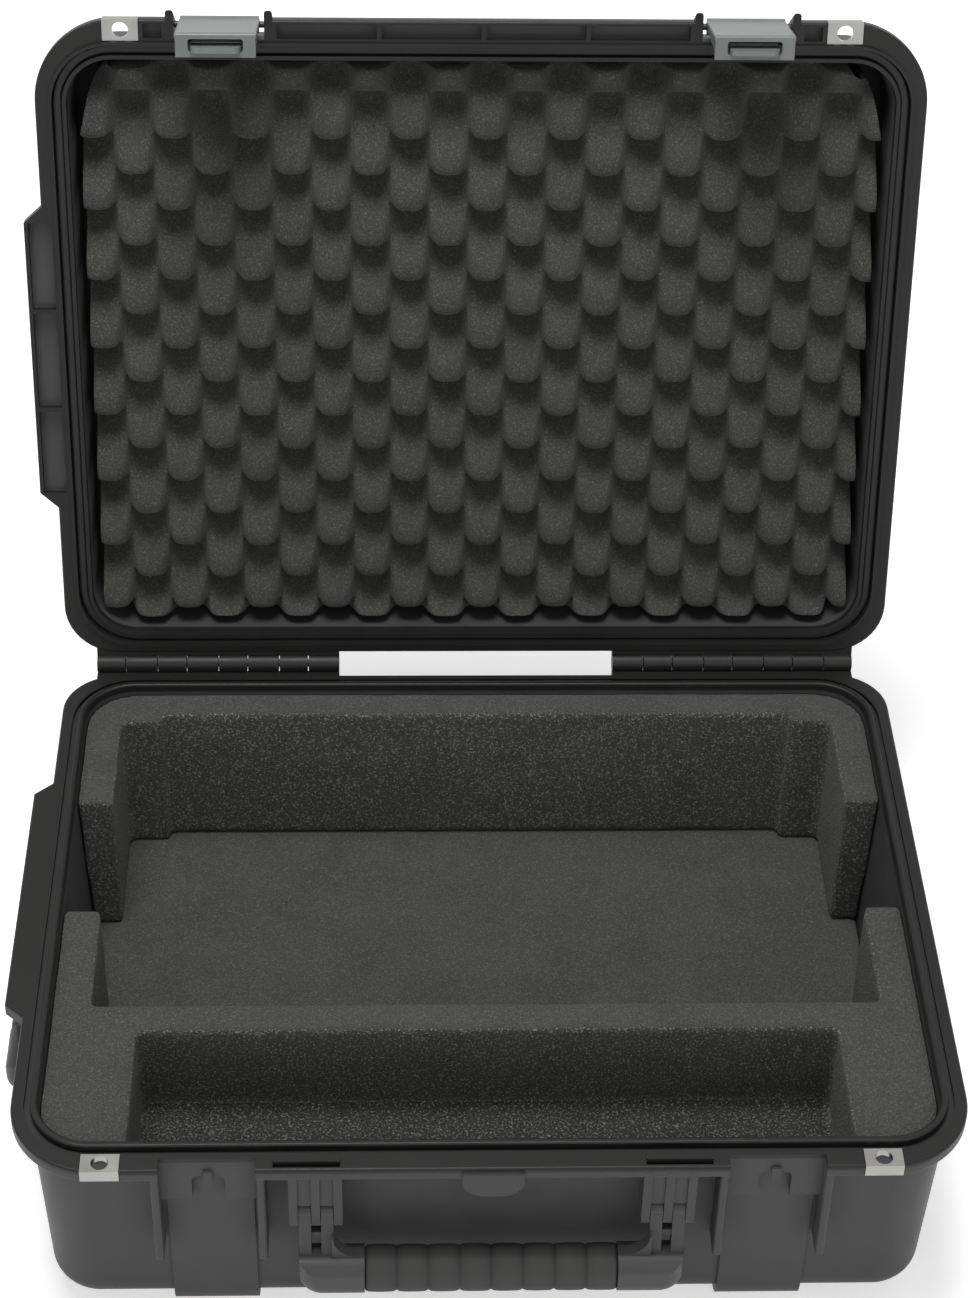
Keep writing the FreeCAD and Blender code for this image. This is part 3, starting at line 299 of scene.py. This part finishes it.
pores.links.new(ramp(pores, broad.outputs["Fac"], *MOTTLE_BAND), pores_out.inputs["Mottle"])
print("group:", pores.name)

# %% [markdown]
# ## Hard finishes
#
# Each finish is one Principled shader. The group's mottle blends two near colours and two roughness
# values, and the grain goes through a Bump node into the normal.

# %% Helpers for finishes


def finish(name, group, values):
    """A new material with its shader and a placed effect group."""
    material = bpy.data.materials.new(name)
    material.use_nodes = True
    tree = material.node_tree
    effect = tree.nodes.new("ShaderNodeGroup")
    effect.node_tree = group
    for label, value in values.items():
        effect.inputs[label].default_value = value
    return material, tree, tree.nodes["Principled BSDF"], effect.outputs


def blend_colours(tree, factor, first, second):
    """Mix two colours, each a plain triple or a socket, with the colour sockets of a Mix node."""
    mix = tree.nodes.new("ShaderNodeMix")
    mix.data_type = "RGBA"
    tree.links.new(factor, mix.inputs["Factor"])
    for socket, colour in ((mix.inputs[6], first), (mix.inputs[7], second)):
        if isinstance(colour, tuple):
            socket.default_value = (*colour, 1.0)
        else:
            tree.links.new(colour, socket)
    return mix.outputs[2]


def shade(colour, share):
    return tuple(value * share for value in colour)


def mottled(tree, effect, colour, shares):
    """A colour that wanders between two shares of itself."""
    return blend_colours(tree, effect["Mottle"], *(shade(colour, share) for share in shares))


def raise_surface(tree, shader, height, distance, strength):
    bump = tree.nodes.new("ShaderNodeBump")
    bump.inputs["Strength"].default_value = strength
    bump.inputs["Distance"].default_value = distance
    tree.links.new(height, bump.inputs["Height"])
    tree.links.new(bump.outputs["Normal"], shader.inputs["Normal"])


# %% [markdown]
# ### Shells with a smooth rim
#
# The outside of both shells is grained, but the mating rims are left smooth so that they seal, and they
# look darker and glossier. Two materials with a seam between them would need the mesh to be split. A mask
# does it without that: the distance from the parting plane, which is a dot product of the place with the
# plane's normal, fades from the outside's finish to the rim's over one and a half millimetres. The lid
# stands open, so its plane is turned about the hinge by the lid's whole travel.

# %% Shell finishes
SHELL_DARK, SHELL_LIGHT = (0.040, 0.041, 0.040), (0.049, 0.050, 0.049)
SHELL_ROUGH, SHELL_SPECULAR = (0.46, 0.56), 0.21
SHELL_GRAINS, SHELL_GRAIN_DEPTH = 1500.0, 0.12 * MM
RIM_COLOUR, RIM_GLOSS, RIM_FADE = (0.010, 0.010, 0.0095), 0.08, 1.5 * MM
BASE_RIM_Z, LID_RIM_Z = 145.0 * MM, 154.5 * MM
GRAIN_STRENGTH = 0.5

joints = {joint["name"]: joint for joint in frame["record"]["behaviour"]["joints"]}
HINGE = Vector(joints["lid_hinge"]["pos_m"])
TRAVEL = math.radians(joints["lid_hinge"]["range_deg"][1])
lid_turn = Matrix.Translation(HINGE) @ Matrix.Rotation(-TRAVEL, 4, "X") @ Matrix.Translation(-HINGE)


def shell(name, normal, edge):
    """A shell's plastic, with the rim's finish past an edge along a normal."""
    material, tree, shader, effect = finish(name, grain, {"Grains per metre": SHELL_GRAINS})
    along = tree.nodes.new("ShaderNodeVectorMath")
    along.operation = "DOT_PRODUCT"
    tree.links.new(tree.nodes.new("ShaderNodeTexCoord").outputs["Object"], along.inputs[0])
    along.inputs[1].default_value = normal
    rim = ramp(tree, along.outputs["Value"], edge, edge + RIM_FADE)
    body = blend_colours(tree, effect["Mottle"], SHELL_DARK, SHELL_LIGHT)
    tree.links.new(blend_colours(tree, rim, body, RIM_COLOUR), shader.inputs["Base Color"])
    gloss = maths(tree, "MULTIPLY", rim, RIM_GLOSS)
    grained = ramp(tree, effect["Mottle"], 0.0, 1.0, *SHELL_ROUGH)
    tree.links.new(maths(tree, "SUBTRACT", grained, gloss), shader.inputs["Roughness"])
    shader.inputs["Specular IOR Level"].default_value = SHELL_SPECULAR
    raise_surface(tree, shader, effect["Height"], SHELL_GRAIN_DEPTH, GRAIN_STRENGTH)
    return material


lid_normal = (lid_turn.to_3x3() @ Vector((0.0, 0.0, -1.0))).normalized()
lid_edge = lid_normal.dot(lid_turn @ Vector((0.0, 0.0, LID_RIM_Z)))
shells = {
    "base_shell": shell("base_plastic", (0.0, 0.0, 1.0), BASE_RIM_Z),
    "lid_shell": shell("lid_plastic", lid_normal, lid_edge),
}
print("lid parting plane at %.4f along" % lid_edge, [round(value, 4) for value in lid_normal])

# %% [markdown]
# ### Latches, grips, handle frames and seal
#
# The latches are moulded in a lighter, slightly green grey with a finer grain, so they are smoother. The
# grips are a soft overmould, duller than the frames, and the seal is a dark, smooth rubber. One function
# makes all four, because only the numbers differ.

# %% Moulded finishes
MOULD_SHARES = (0.9, 1.1)


def plastic(name, colour, rough, grains, depth, specular):
    """A moulded finish; the mottle moves its colour and its gloss a little."""
    material, tree, shader, effect = finish(name, grain, {"Grains per metre": grains})
    tree.links.new(mottled(tree, effect, colour, MOULD_SHARES), shader.inputs["Base Color"])
    tree.links.new(ramp(tree, effect["Mottle"], 0.0, 1.0, *rough), shader.inputs["Roughness"])
    shader.inputs["Specular IOR Level"].default_value = specular
    raise_surface(tree, shader, effect["Height"], depth, GRAIN_STRENGTH)
    return material


latch_plastic = plastic("latch_plastic", (0.128, 0.139, 0.135), rough=(0.36, 0.46), grains=2400.0,
                        depth=0.04 * MM, specular=0.4)
grip_rubber = plastic("grip_rubber", (0.040, 0.039, 0.038), rough=(0.58, 0.70), grains=1100.0,
                      depth=0.10 * MM, specular=0.22)
frame_plastic = plastic("frame_plastic", (0.040, 0.041, 0.040), rough=(0.42, 0.52), grains=1700.0,
                        depth=0.06 * MM, specular=0.28)
seal_rubber = plastic("seal_rubber", (0.012, 0.012, 0.012), rough=(0.38, 0.48), grains=800.0,
                      depth=0.05 * MM, specular=0.25)
print("moulded:", [made.name for made in (latch_plastic, grip_rubber, frame_plastic, seal_rubber)])

# %% [markdown]
# ### Steel
#
# The padlock plates are tumbled stainless steel: a metal whose roughness wanders a little reads as satin.
# The pins are dark and duller. Both use the moulded grain, very fine and shallow.

# %% Steel finishes
STEEL_SHARES = (0.94, 1.04)
STEEL_GRAINS, STEEL_GRAIN_DEPTH, STEEL_GRAIN_STRENGTH = 2600.0, 0.02 * MM, 0.4


def metal(name, colour, rough):
    material, tree, shader, effect = finish(name, grain, {"Grains per metre": STEEL_GRAINS})
    shader.inputs["Metallic"].default_value = 1.0
    tree.links.new(mottled(tree, effect, colour, STEEL_SHARES), shader.inputs["Base Color"])
    tree.links.new(ramp(tree, effect["Mottle"], 0.0, 1.0, *rough), shader.inputs["Roughness"])
    raise_surface(tree, shader, effect["Height"], STEEL_GRAIN_DEPTH, STEEL_GRAIN_STRENGTH)
    return material


plate_steel = metal("plate_steel", (0.30, 0.297, 0.28), rough=(0.20, 0.34))
pin_steel = metal("pin_steel", (0.055, 0.055, 0.055), rough=(0.42, 0.54))
print("steel:", plate_steel.name, pin_steel.name)

# %% [markdown]
# ### Finishes on the exact pieces
#
# Every exact piece names the slot that its material goes in, so a table from slot to finish serves most of
# them. The two shells have finishes of their own, and the pins are told by their names.

# %% Finishes on the exact pieces
BY_SLOT = {"shell": frame_plastic, "latch": latch_plastic, "steel": plate_steel, "grip": grip_rubber,
           "seal": seal_rubber}
used = {}
for entry in frame["record"]["subparts"]:
    node, slot = entry["node"], entry["material_slot"]
    material = shells.get(node, BY_SLOT.get(slot))
    if "_pin_" in node:
        material = pin_steel
    if material:
        frame["nodes"][node].data.materials.clear()
        frame["nodes"][node].data.materials.append(material)
        used.setdefault(material.name, []).append(node)
for name, nodes in used.items():
    print(name, "on", len(nodes), "pieces")

# %% [markdown]
# ## Foam finishes
#
# Foam is cut from a block of cells. On a sheared top the cells are fine and the face is even. On a sawn
# side they are torn open, so it is rougher and catches more bright specks on the cell walls. The floor of
# a pocket gets a much darker colour: painted shade, for the shade that falls deep in a pocket. One
# function makes all of them from the same group, with other scales and colours.

# %% Foam finishes
FOAM_SHARES, PIT_SHARE = (0.85, 1.15), 0.45
FOAM_ROUGH, FOAM_SPECULAR = 0.95, 0.15
FOAM_SHEEN, FOAM_SHEEN_ROUGH = 0.08, 0.6
CELL_STRENGTH = 0.8


def foam(name, colour, speck, cells, specks, depth):
    scales = {"Cells per metre": cells, "Specks per metre": specks}
    material, tree, shader, effect = finish(name, pores, scales)
    body = mottled(tree, effect, colour, FOAM_SHARES)
    pitted = blend_colours(tree, effect["Pores"], shade(colour, PIT_SHARE), body)
    tree.links.new(blend_colours(tree, effect["Specks"], pitted, speck), shader.inputs["Base Color"])
    shader.inputs["Roughness"].default_value = FOAM_ROUGH
    shader.inputs["Specular IOR Level"].default_value = FOAM_SPECULAR
    shader.inputs["Sheen Weight"].default_value = FOAM_SHEEN
    shader.inputs["Sheen Roughness"].default_value = FOAM_SHEEN_ROUGH
    raise_surface(tree, shader, effect["Height"], depth, CELL_STRENGTH)
    return material


crate_foam = foam("crate_foam", (0.046, 0.046, 0.042), speck=(0.085, 0.085, 0.078), cells=1100.0,
                  specks=760.0, depth=0.5 * MM)
skin_foam = foam("skin_foam", (0.062, 0.062, 0.060), speck=(0.100, 0.100, 0.097), cells=1300.0,
                 specks=760.0, depth=0.35 * MM)
sawn_foam = foam("sawn_foam", (0.066, 0.066, 0.063), speck=(0.27, 0.27, 0.26), cells=800.0,
                 specks=700.0, depth=0.9 * MM)
# The foam of the pocket floors is much darker: painted shade, for the shade deep in a pocket.
pocket_shade_foam = foam("pocket_shade_foam", (0.028, 0.028, 0.026), speck=(0.17, 0.17, 0.165), cells=800.0,
                 specks=700.0, depth=0.9 * MM)
print("foam:", [made.name for made in (crate_foam, skin_foam, sawn_foam, pocket_shade_foam)])

# %% [markdown]
# ## Convoluted pad in the lid
#
# Egg-crate foam is sliced while rollers press it, which leaves staggered knobs. In the standing lid the
# soft knobs hang down a little, so each one ends in a crisp lower edge over a dark gap, like a shingle.
# It could be sculpted or repeated knob by knob; a fine grid lifted by two crossed waves gives all of them
# at once. A curve makes the knobs broad, and a shift that grows with height makes them droop. The shift
# fades out at the sheet's edges, so that the pad stays in its place. The pad is shaped as it lies in the
# shut lid, and turned into the open one at the end.

# %% Helpers for new pieces


def keep(bm, name, body, node, materials):
    """Turn a bmesh into a finished piece that rides a body and stands for a node."""
    mesh = bpy.data.meshes.new(name)
    bm.to_mesh(mesh)
    bm.free()
    for material in materials:
        mesh.materials.append(material)
    mesh.polygons.foreach_set("use_smooth", [True] * len(mesh.polygons))
    piece = bpy.data.objects.new(name, mesh)
    scene.collection.objects.link(piece)
    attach(piece, body)
    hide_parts(node)
    print(name, len(mesh.polygons), "faces")
    return piece


def keep_foam(bm, name, body, node, materials):
    piece = keep(bm, name, body, node, materials)


# %% Knobs
HALF_X, HALF_Y, CORNER = 250.0 * MM, 188.5 * MM, 30.0 * MM
PEAK_Z, VALLEY_Z, BACK_Z = 155.3 * MM, 177.0 * MM, 200.9 * MM
PITCH_X, PITCH_Y = 49.2 * MM, 46.5 * MM
SHIFT_X, SHIFT_Y = 20.9 * MM, 2.4 * MM
BROAD_X, BROAD_Y = 2.2, 1.4
DROOP, DROOP_FADE = 17.0 * MM, 20.0 * MM
UNEVEN, UNEVEN_PER_METRE, UNEVEN_LAYER = 1.2 * MM, 28.0, 0.3


def broad_wave(place, pitch, broad):
    """A wave between -1 and 1 whose crests and troughs are wide."""
    return math.tanh(broad * math.cos(math.tau * place / pitch)) / math.tanh(broad)


def knob(x, y):
    """Where a point of the flat sheet goes, with the small unevenness of soft foam."""
    lift = 0.5 + 0.5 * broad_wave(x + SHIFT_X, PITCH_X, BROAD_X) * broad_wave(y + SHIFT_Y, PITCH_Y, BROAD_Y)
    uneven = noise.noise(Vector((x, y, UNEVEN_LAYER)) * UNEVEN_PER_METRE) * UNEVEN
    fade = min(1.0, (HALF_Y - abs(y)) / DROOP_FADE)
    return Vector((x, y + DROOP * lift * fade, VALLEY_Z + (PEAK_Z - VALLEY_Z) * lift + uneven))


# %% Lid pad
PAD_SEGMENTS_X, PAD_SEGMENTS_Y = 280, 230

bm = bmesh.new()
bmesh.ops.create_grid(bm, x_segments=PAD_SEGMENTS_X, y_segments=PAD_SEGMENTS_Y, size=1.0,
                      matrix=Matrix.Diagonal((HALF_X, HALF_Y, 1, 1)))
for vert in bm.verts:
    past_x = max(abs(vert.co.x) - HALF_X + CORNER, 0.0)
    past_y = max(abs(vert.co.y) - HALF_Y + CORNER, 0.0)
    if past_x and past_y and math.hypot(past_x, past_y) > CORNER:
        share = CORNER / math.hypot(past_x, past_y)
        vert.co.x = math.copysign(HALF_X - CORNER + past_x * share, vert.co.x)
        vert.co.y = math.copysign(HALF_Y - CORNER + past_y * share, vert.co.y)
for vert in bm.verts:
    vert.co = knob(vert.co.x, vert.co.y)
border = [edge for edge in bm.edges if edge.is_boundary]
drawn = bmesh.ops.extrude_edge_only(bm, edges=border)["geom"]
for vert in drawn:
    if isinstance(vert, bmesh.types.BMVert):
        vert.co.z = BACK_Z
bmesh.ops.edgeloop_fill(bm, edges=[edge for edge in bm.edges if edge.is_boundary])
bmesh.ops.recalc_face_normals(bm, faces=bm.faces)
bmesh.ops.transform(bm, matrix=lid_turn, verts=bm.verts)
keep_foam(bm, "crate_pad", "lid", "lid_foam", [crate_foam])

# %% [markdown]
# ## Rubber grips
#
# The grip is a soft rubber sleeve moulded round the handle's bar, plump between shallow grooves where the
# fingers hold it. The exact model only blocks it out with flat bands. Here a tube of rings is pressed into
# a rounded section and swells between the grooves; a narrower tube is its hole for the bar, and bridges
# close both ends. Each point also keeps how deep in a groove it lies, and the rubber reads that to darken
# there: dust, and painted shade in the grooves. One function makes the front grip and the side grip.

# %% Sleeve of a grip
ROUND_SEGMENTS = 48
PLUMP_POWER = 0.2


def sleeve_section(angle, height, depth, power):
    """A point on a rounded-square section, as a height and a depth from its middle."""
    up = math.copysign(abs(math.sin(angle)) ** (2 / power), math.sin(angle))
    out = math.copysign(abs(math.cos(angle)) ** (2 / power), math.cos(angle))
    return up * height, out * depth


def tube(length, rings, half_height, half_depth, power, groove, count):
    """An open tube along X with a rounded section, narrower at each groove."""
    bm = bmesh.new()
    bmesh.ops.create_cone(bm, cap_ends=False, segments=ROUND_SEGMENTS, radius1=1.0, radius2=1.0,
                          depth=length, matrix=Matrix.Rotation(math.pi / 2, 4, "Y"))
    rails = [edge for edge in bm.edges if abs(edge.verts[0].co.x - edge.verts[1].co.x) > length / 2]
    bmesh.ops.subdivide_edges(bm, edges=rails, cuts=rings)
    mark = bm.verts.layers.float.new("groove")
    for vert in bm.verts:
        swell = abs(math.sin(math.pi * count * (vert.co.x / length + 0.5))) ** PLUMP_POWER
        vert[mark] = 1.0 - swell
        pinch = groove * vert[mark]
        turn = math.atan2(vert.co.z, vert.co.y)
        vert.co.z, vert.co.y = sleeve_section(turn, half_height - pinch, half_depth - pinch, power)
    return bm


# %% Grips
RINGS_PER_BULGE = 10
GROOVE_DEPTH, SLEEVE_WALL = 1.2 * MM, 2.6 * MM
SLEEVE_POWER, HOLE_POWER = 2.7, 4.5
# The colour in the grooves stands for dust and painted shade.
GROOVE_DUST_AND_SHADE = (0.018, 0.018, 0.018)


def rubber_grip(name, body, node, count, turn):
    """A plump sleeve in the place of a grip node, with as many finger bulges as that has."""
    low, high = (Vector(corner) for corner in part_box(node))
    size = high - low
    length, depth = (size.y, size.x) if turn else (size.x, size.y)
    rings = count * RINGS_PER_BULGE - 1
    bm = tube(length, rings, size.z / 2, depth / 2, SLEEVE_POWER, GROOVE_DEPTH, count)
    hole = tube(length, 1, size.z / 2 - SLEEVE_WALL, depth / 2 - SLEEVE_WALL, HOLE_POWER, 0.0, count)
    lining = bpy.data.meshes.new(name + "_lining")
    hole.to_mesh(lining)
    hole.free()
    bm.from_mesh(lining)
    bpy.data.meshes.remove(lining)
    for end in (-1, 1):
        loop = [edge for edge in bm.edges if edge.is_boundary
                and all(vert.co.x * end > 0.0 for vert in edge.verts)]
        bmesh.ops.bridge_loops(bm, edges=loop)
    bmesh.ops.recalc_face_normals(bm, faces=bm.faces)
    place = Matrix.Translation((low + high) / 2) @ Matrix.Rotation(turn, 4, "Z")
    bmesh.ops.transform(bm, matrix=place, verts=bm.verts)
    print(name, "open edges:", sum(edge.is_boundary for edge in bm.edges))
    keep(bm, name, body, node, [grip_rubber])


# Darkens the rubber in the grooves: dust, and painted shade in the grooves.
tree = grip_rubber.node_tree
shader = tree.nodes["Principled BSDF"]
rubber = shader.inputs["Base Color"].links[0].from_socket
groove = tree.nodes.new("ShaderNodeAttribute")
groove.attribute_name = "groove"
groove_dust_and_shade = blend_colours(tree, groove.outputs["Fac"], rubber, GROOVE_DUST_AND_SHADE)
tree.links.new(groove_dust_and_shade, shader.inputs["Base Color"])
rubber_grip("front_grip", "front_handle", "front_handle_grip", count=8, turn=0.0)
rubber_grip("side_grip", "side_handle", "side_handle_grip", count=5, turn=math.pi / 2)

# %% [markdown]
# ## Foam blocks in the base
#
# The blocks are hot-wire and saw cuts from one slab, so their edges are straight but never perfect. Each
# starts as a box that follows the drafted wall and loses its pockets to boolean cutters. A bevel would
# give every edge the same machined look, so the block is remeshed instead: that softens the edges by
# about a cell and gives enough points for a slight waviness.

# %% Helpers for boxes
WALL_Y = 150.0 * MM
ROUND_STEPS = 10


def foam_box(x, y, z, taper=0.0, corner=0.0):
    """A box between three pairs of places.

    Its ends, and a long side past WALL_Y, stand at the drafted wall: they lean in by the taper towards the
    bottom, and the upright edges between them are rounded by the corner.
    """
    bm = bmesh.new()
    size = Vector((x[1] - x[0], y[1] - y[0], z[1] - z[0]))
    middle = Vector((x[1] + x[0], y[1] + y[0], z[1] + z[0])) / 2
    bmesh.ops.create_cube(bm, size=1.0, matrix=Matrix.Translation(middle) @ Matrix.Diagonal((*size, 1)))
    for vert in bm.verts:
        if vert.co.z < middle.z:
            vert.co.x -= math.copysign(taper, vert.co.x)
            vert.co.y -= math.copysign(taper, vert.co.y) if abs(vert.co.y) > WALL_Y else 0.0
    if corner:
        upright = [edge for edge in bm.edges if abs(edge.verts[0].co.y) > WALL_Y
                   and abs(edge.verts[0].co.z - edge.verts[1].co.z) > size.z / 2]
        bmesh.ops.bevel(bm, geom=upright, offset=corner, affect="EDGES", segments=ROUND_STEPS, profile=0.5,
                        material=-1)
    return bm


def as_object(bm, name):
    mesh = bpy.data.meshes.new(name)
    bm.to_mesh(mesh)
    bm.free()
    thing = bpy.data.objects.new(name, mesh)
    scene.collection.objects.link(thing)
    return thing


# %% Cutting and softening
BLOCK_FOAMS = [skin_foam, sawn_foam, pocket_shade_foam]
SKIN, SAWN, POCKET_SHADE = range(len(BLOCK_FOAMS))
SKIN_DEPTH, LEVEL_SHARE = 8.0 * MM, 0.6
WAVES_PER_METRE, WAVE_HEIGHT, SHRINK = 45.0, 0.35 * MM, 0.2 * MM


def cut_and_soften(bm, name, cutters, voxel):
    """Cut the pockets, remesh the block, give its faces a slight waviness and sort them into tops, sides
    and pocket floors; the pocket floors take a dark foam as painted shade.
    """
    draft = as_object(bm, name + "_draft")
    helpers = [draft]
    for number, cutter in enumerate(cutters):
        helpers.append(as_object(cutter, "%s_cutter_%d" % (name, number)))
        pocket = draft.modifiers.new("pocket", "BOOLEAN")
        pocket.operation = "DIFFERENCE"
        pocket.object = helpers[-1]
    remesh = draft.modifiers.new("cells", "REMESH")
    remesh.mode = "VOXEL"
    remesh.voxel_size = voxel
    soft = draft.modifiers.new("soft", "SMOOTH")
    soft.iterations = 2
    soft.factor = 0.5
    bpy.context.view_layer.update()
    ready = bpy.data.meshes.new_from_object(draft.evaluated_get(bpy.context.evaluated_depsgraph_get()))
    for helper in helpers:
        bpy.data.objects.remove(helper)
    result = bmesh.new()
    result.from_mesh(ready)
    result.normal_update()
    for vert in result.verts:
        vert.co += vert.normal * (noise.noise(vert.co * WAVES_PER_METRE) * WAVE_HEIGHT - SHRINK)
    result.normal_update()
    skin_z = max(vert.co.z for vert in result.verts) - SKIN_DEPTH
    for face in result.faces:
        # Level faces below the top skin are pocket floors, which get the darker foam as painted shade.
        level_finish = SKIN if face.calc_center_median().z > skin_z else POCKET_SHADE
        face.material_index = level_finish if face.normal.z > LEVEL_SHARE else SAWN
    return result


# %% [markdown]
# ### Front and rear blocks and the floor pad
#
# The front block carries the open tray and half of the bay, the rear block the other half with its
# stepped back wall, and the floor pad lies under both. The gaps between the blocks at the sides are hand
# slots, and a small recess in front leaves room for the nut of the valve. The two blocks take their boxes
# from the exact model, to a tenth of a millimetre, and each cutter reaches beyond the side where its pocket
# is open.

# %% Blocks
BOX_DIGITS = 4
BEYOND = 0.3
BAY = ((-237.0 * MM, 237.0 * MM), (-87.0 * MM, 170.5 * MM), (0.0, BEYOND))
BAY_STEP = ((-210.5 * MM, 210.5 * MM), (-87.0 * MM, 177.5 * MM), (0.0, BEYOND))
TRAY = ((-208.5 * MM, 208.5 * MM), (-BEYOND, -108.5 * MM), (77.0 * MM, BEYOND))
VALVE = ((-11.0 * MM, 11.0 * MM), (-BEYOND, -188.5 * MM), (27.0 * MM, 49.0 * MM))
BLOCK_TAPER, BLOCK_CORNER, BLOCK_VOXEL = 3.8 * MM, 32.0 * MM, 2.6 * MM
PAD = ((-255.6 * MM, 255.6 * MM), (-194.2 * MM, 194.2 * MM), (10.2 * MM, 34.9 * MM))
PAD_TAPER, PAD_VOXEL = 0.6 * MM, 3.5 * MM
POCKETS = {"front": (BAY, TRAY, VALVE), "rear": (BAY, BAY_STEP)}

for part, pockets in POCKETS.items():
    node = "base_foam_" + part
    sides = [[round(place, BOX_DIGITS) for place in pair] for pair in zip(*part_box(node))]
    block = foam_box(*sides, BLOCK_TAPER, BLOCK_CORNER)
    block = cut_and_soften(block, part, [foam_box(*pocket) for pocket in pockets], BLOCK_VOXEL)
    keep_foam(block, part + "_foam", "base", node, BLOCK_FOAMS)
pad = foam_box(*PAD, PAD_TAPER, BLOCK_CORNER)
pad = cut_and_soften(pad, "floor", [foam_box(*VALVE)], PAD_VOXEL)
keep_foam(pad, "floor_foam", "base", "base_foam_pad", BLOCK_FOAMS)
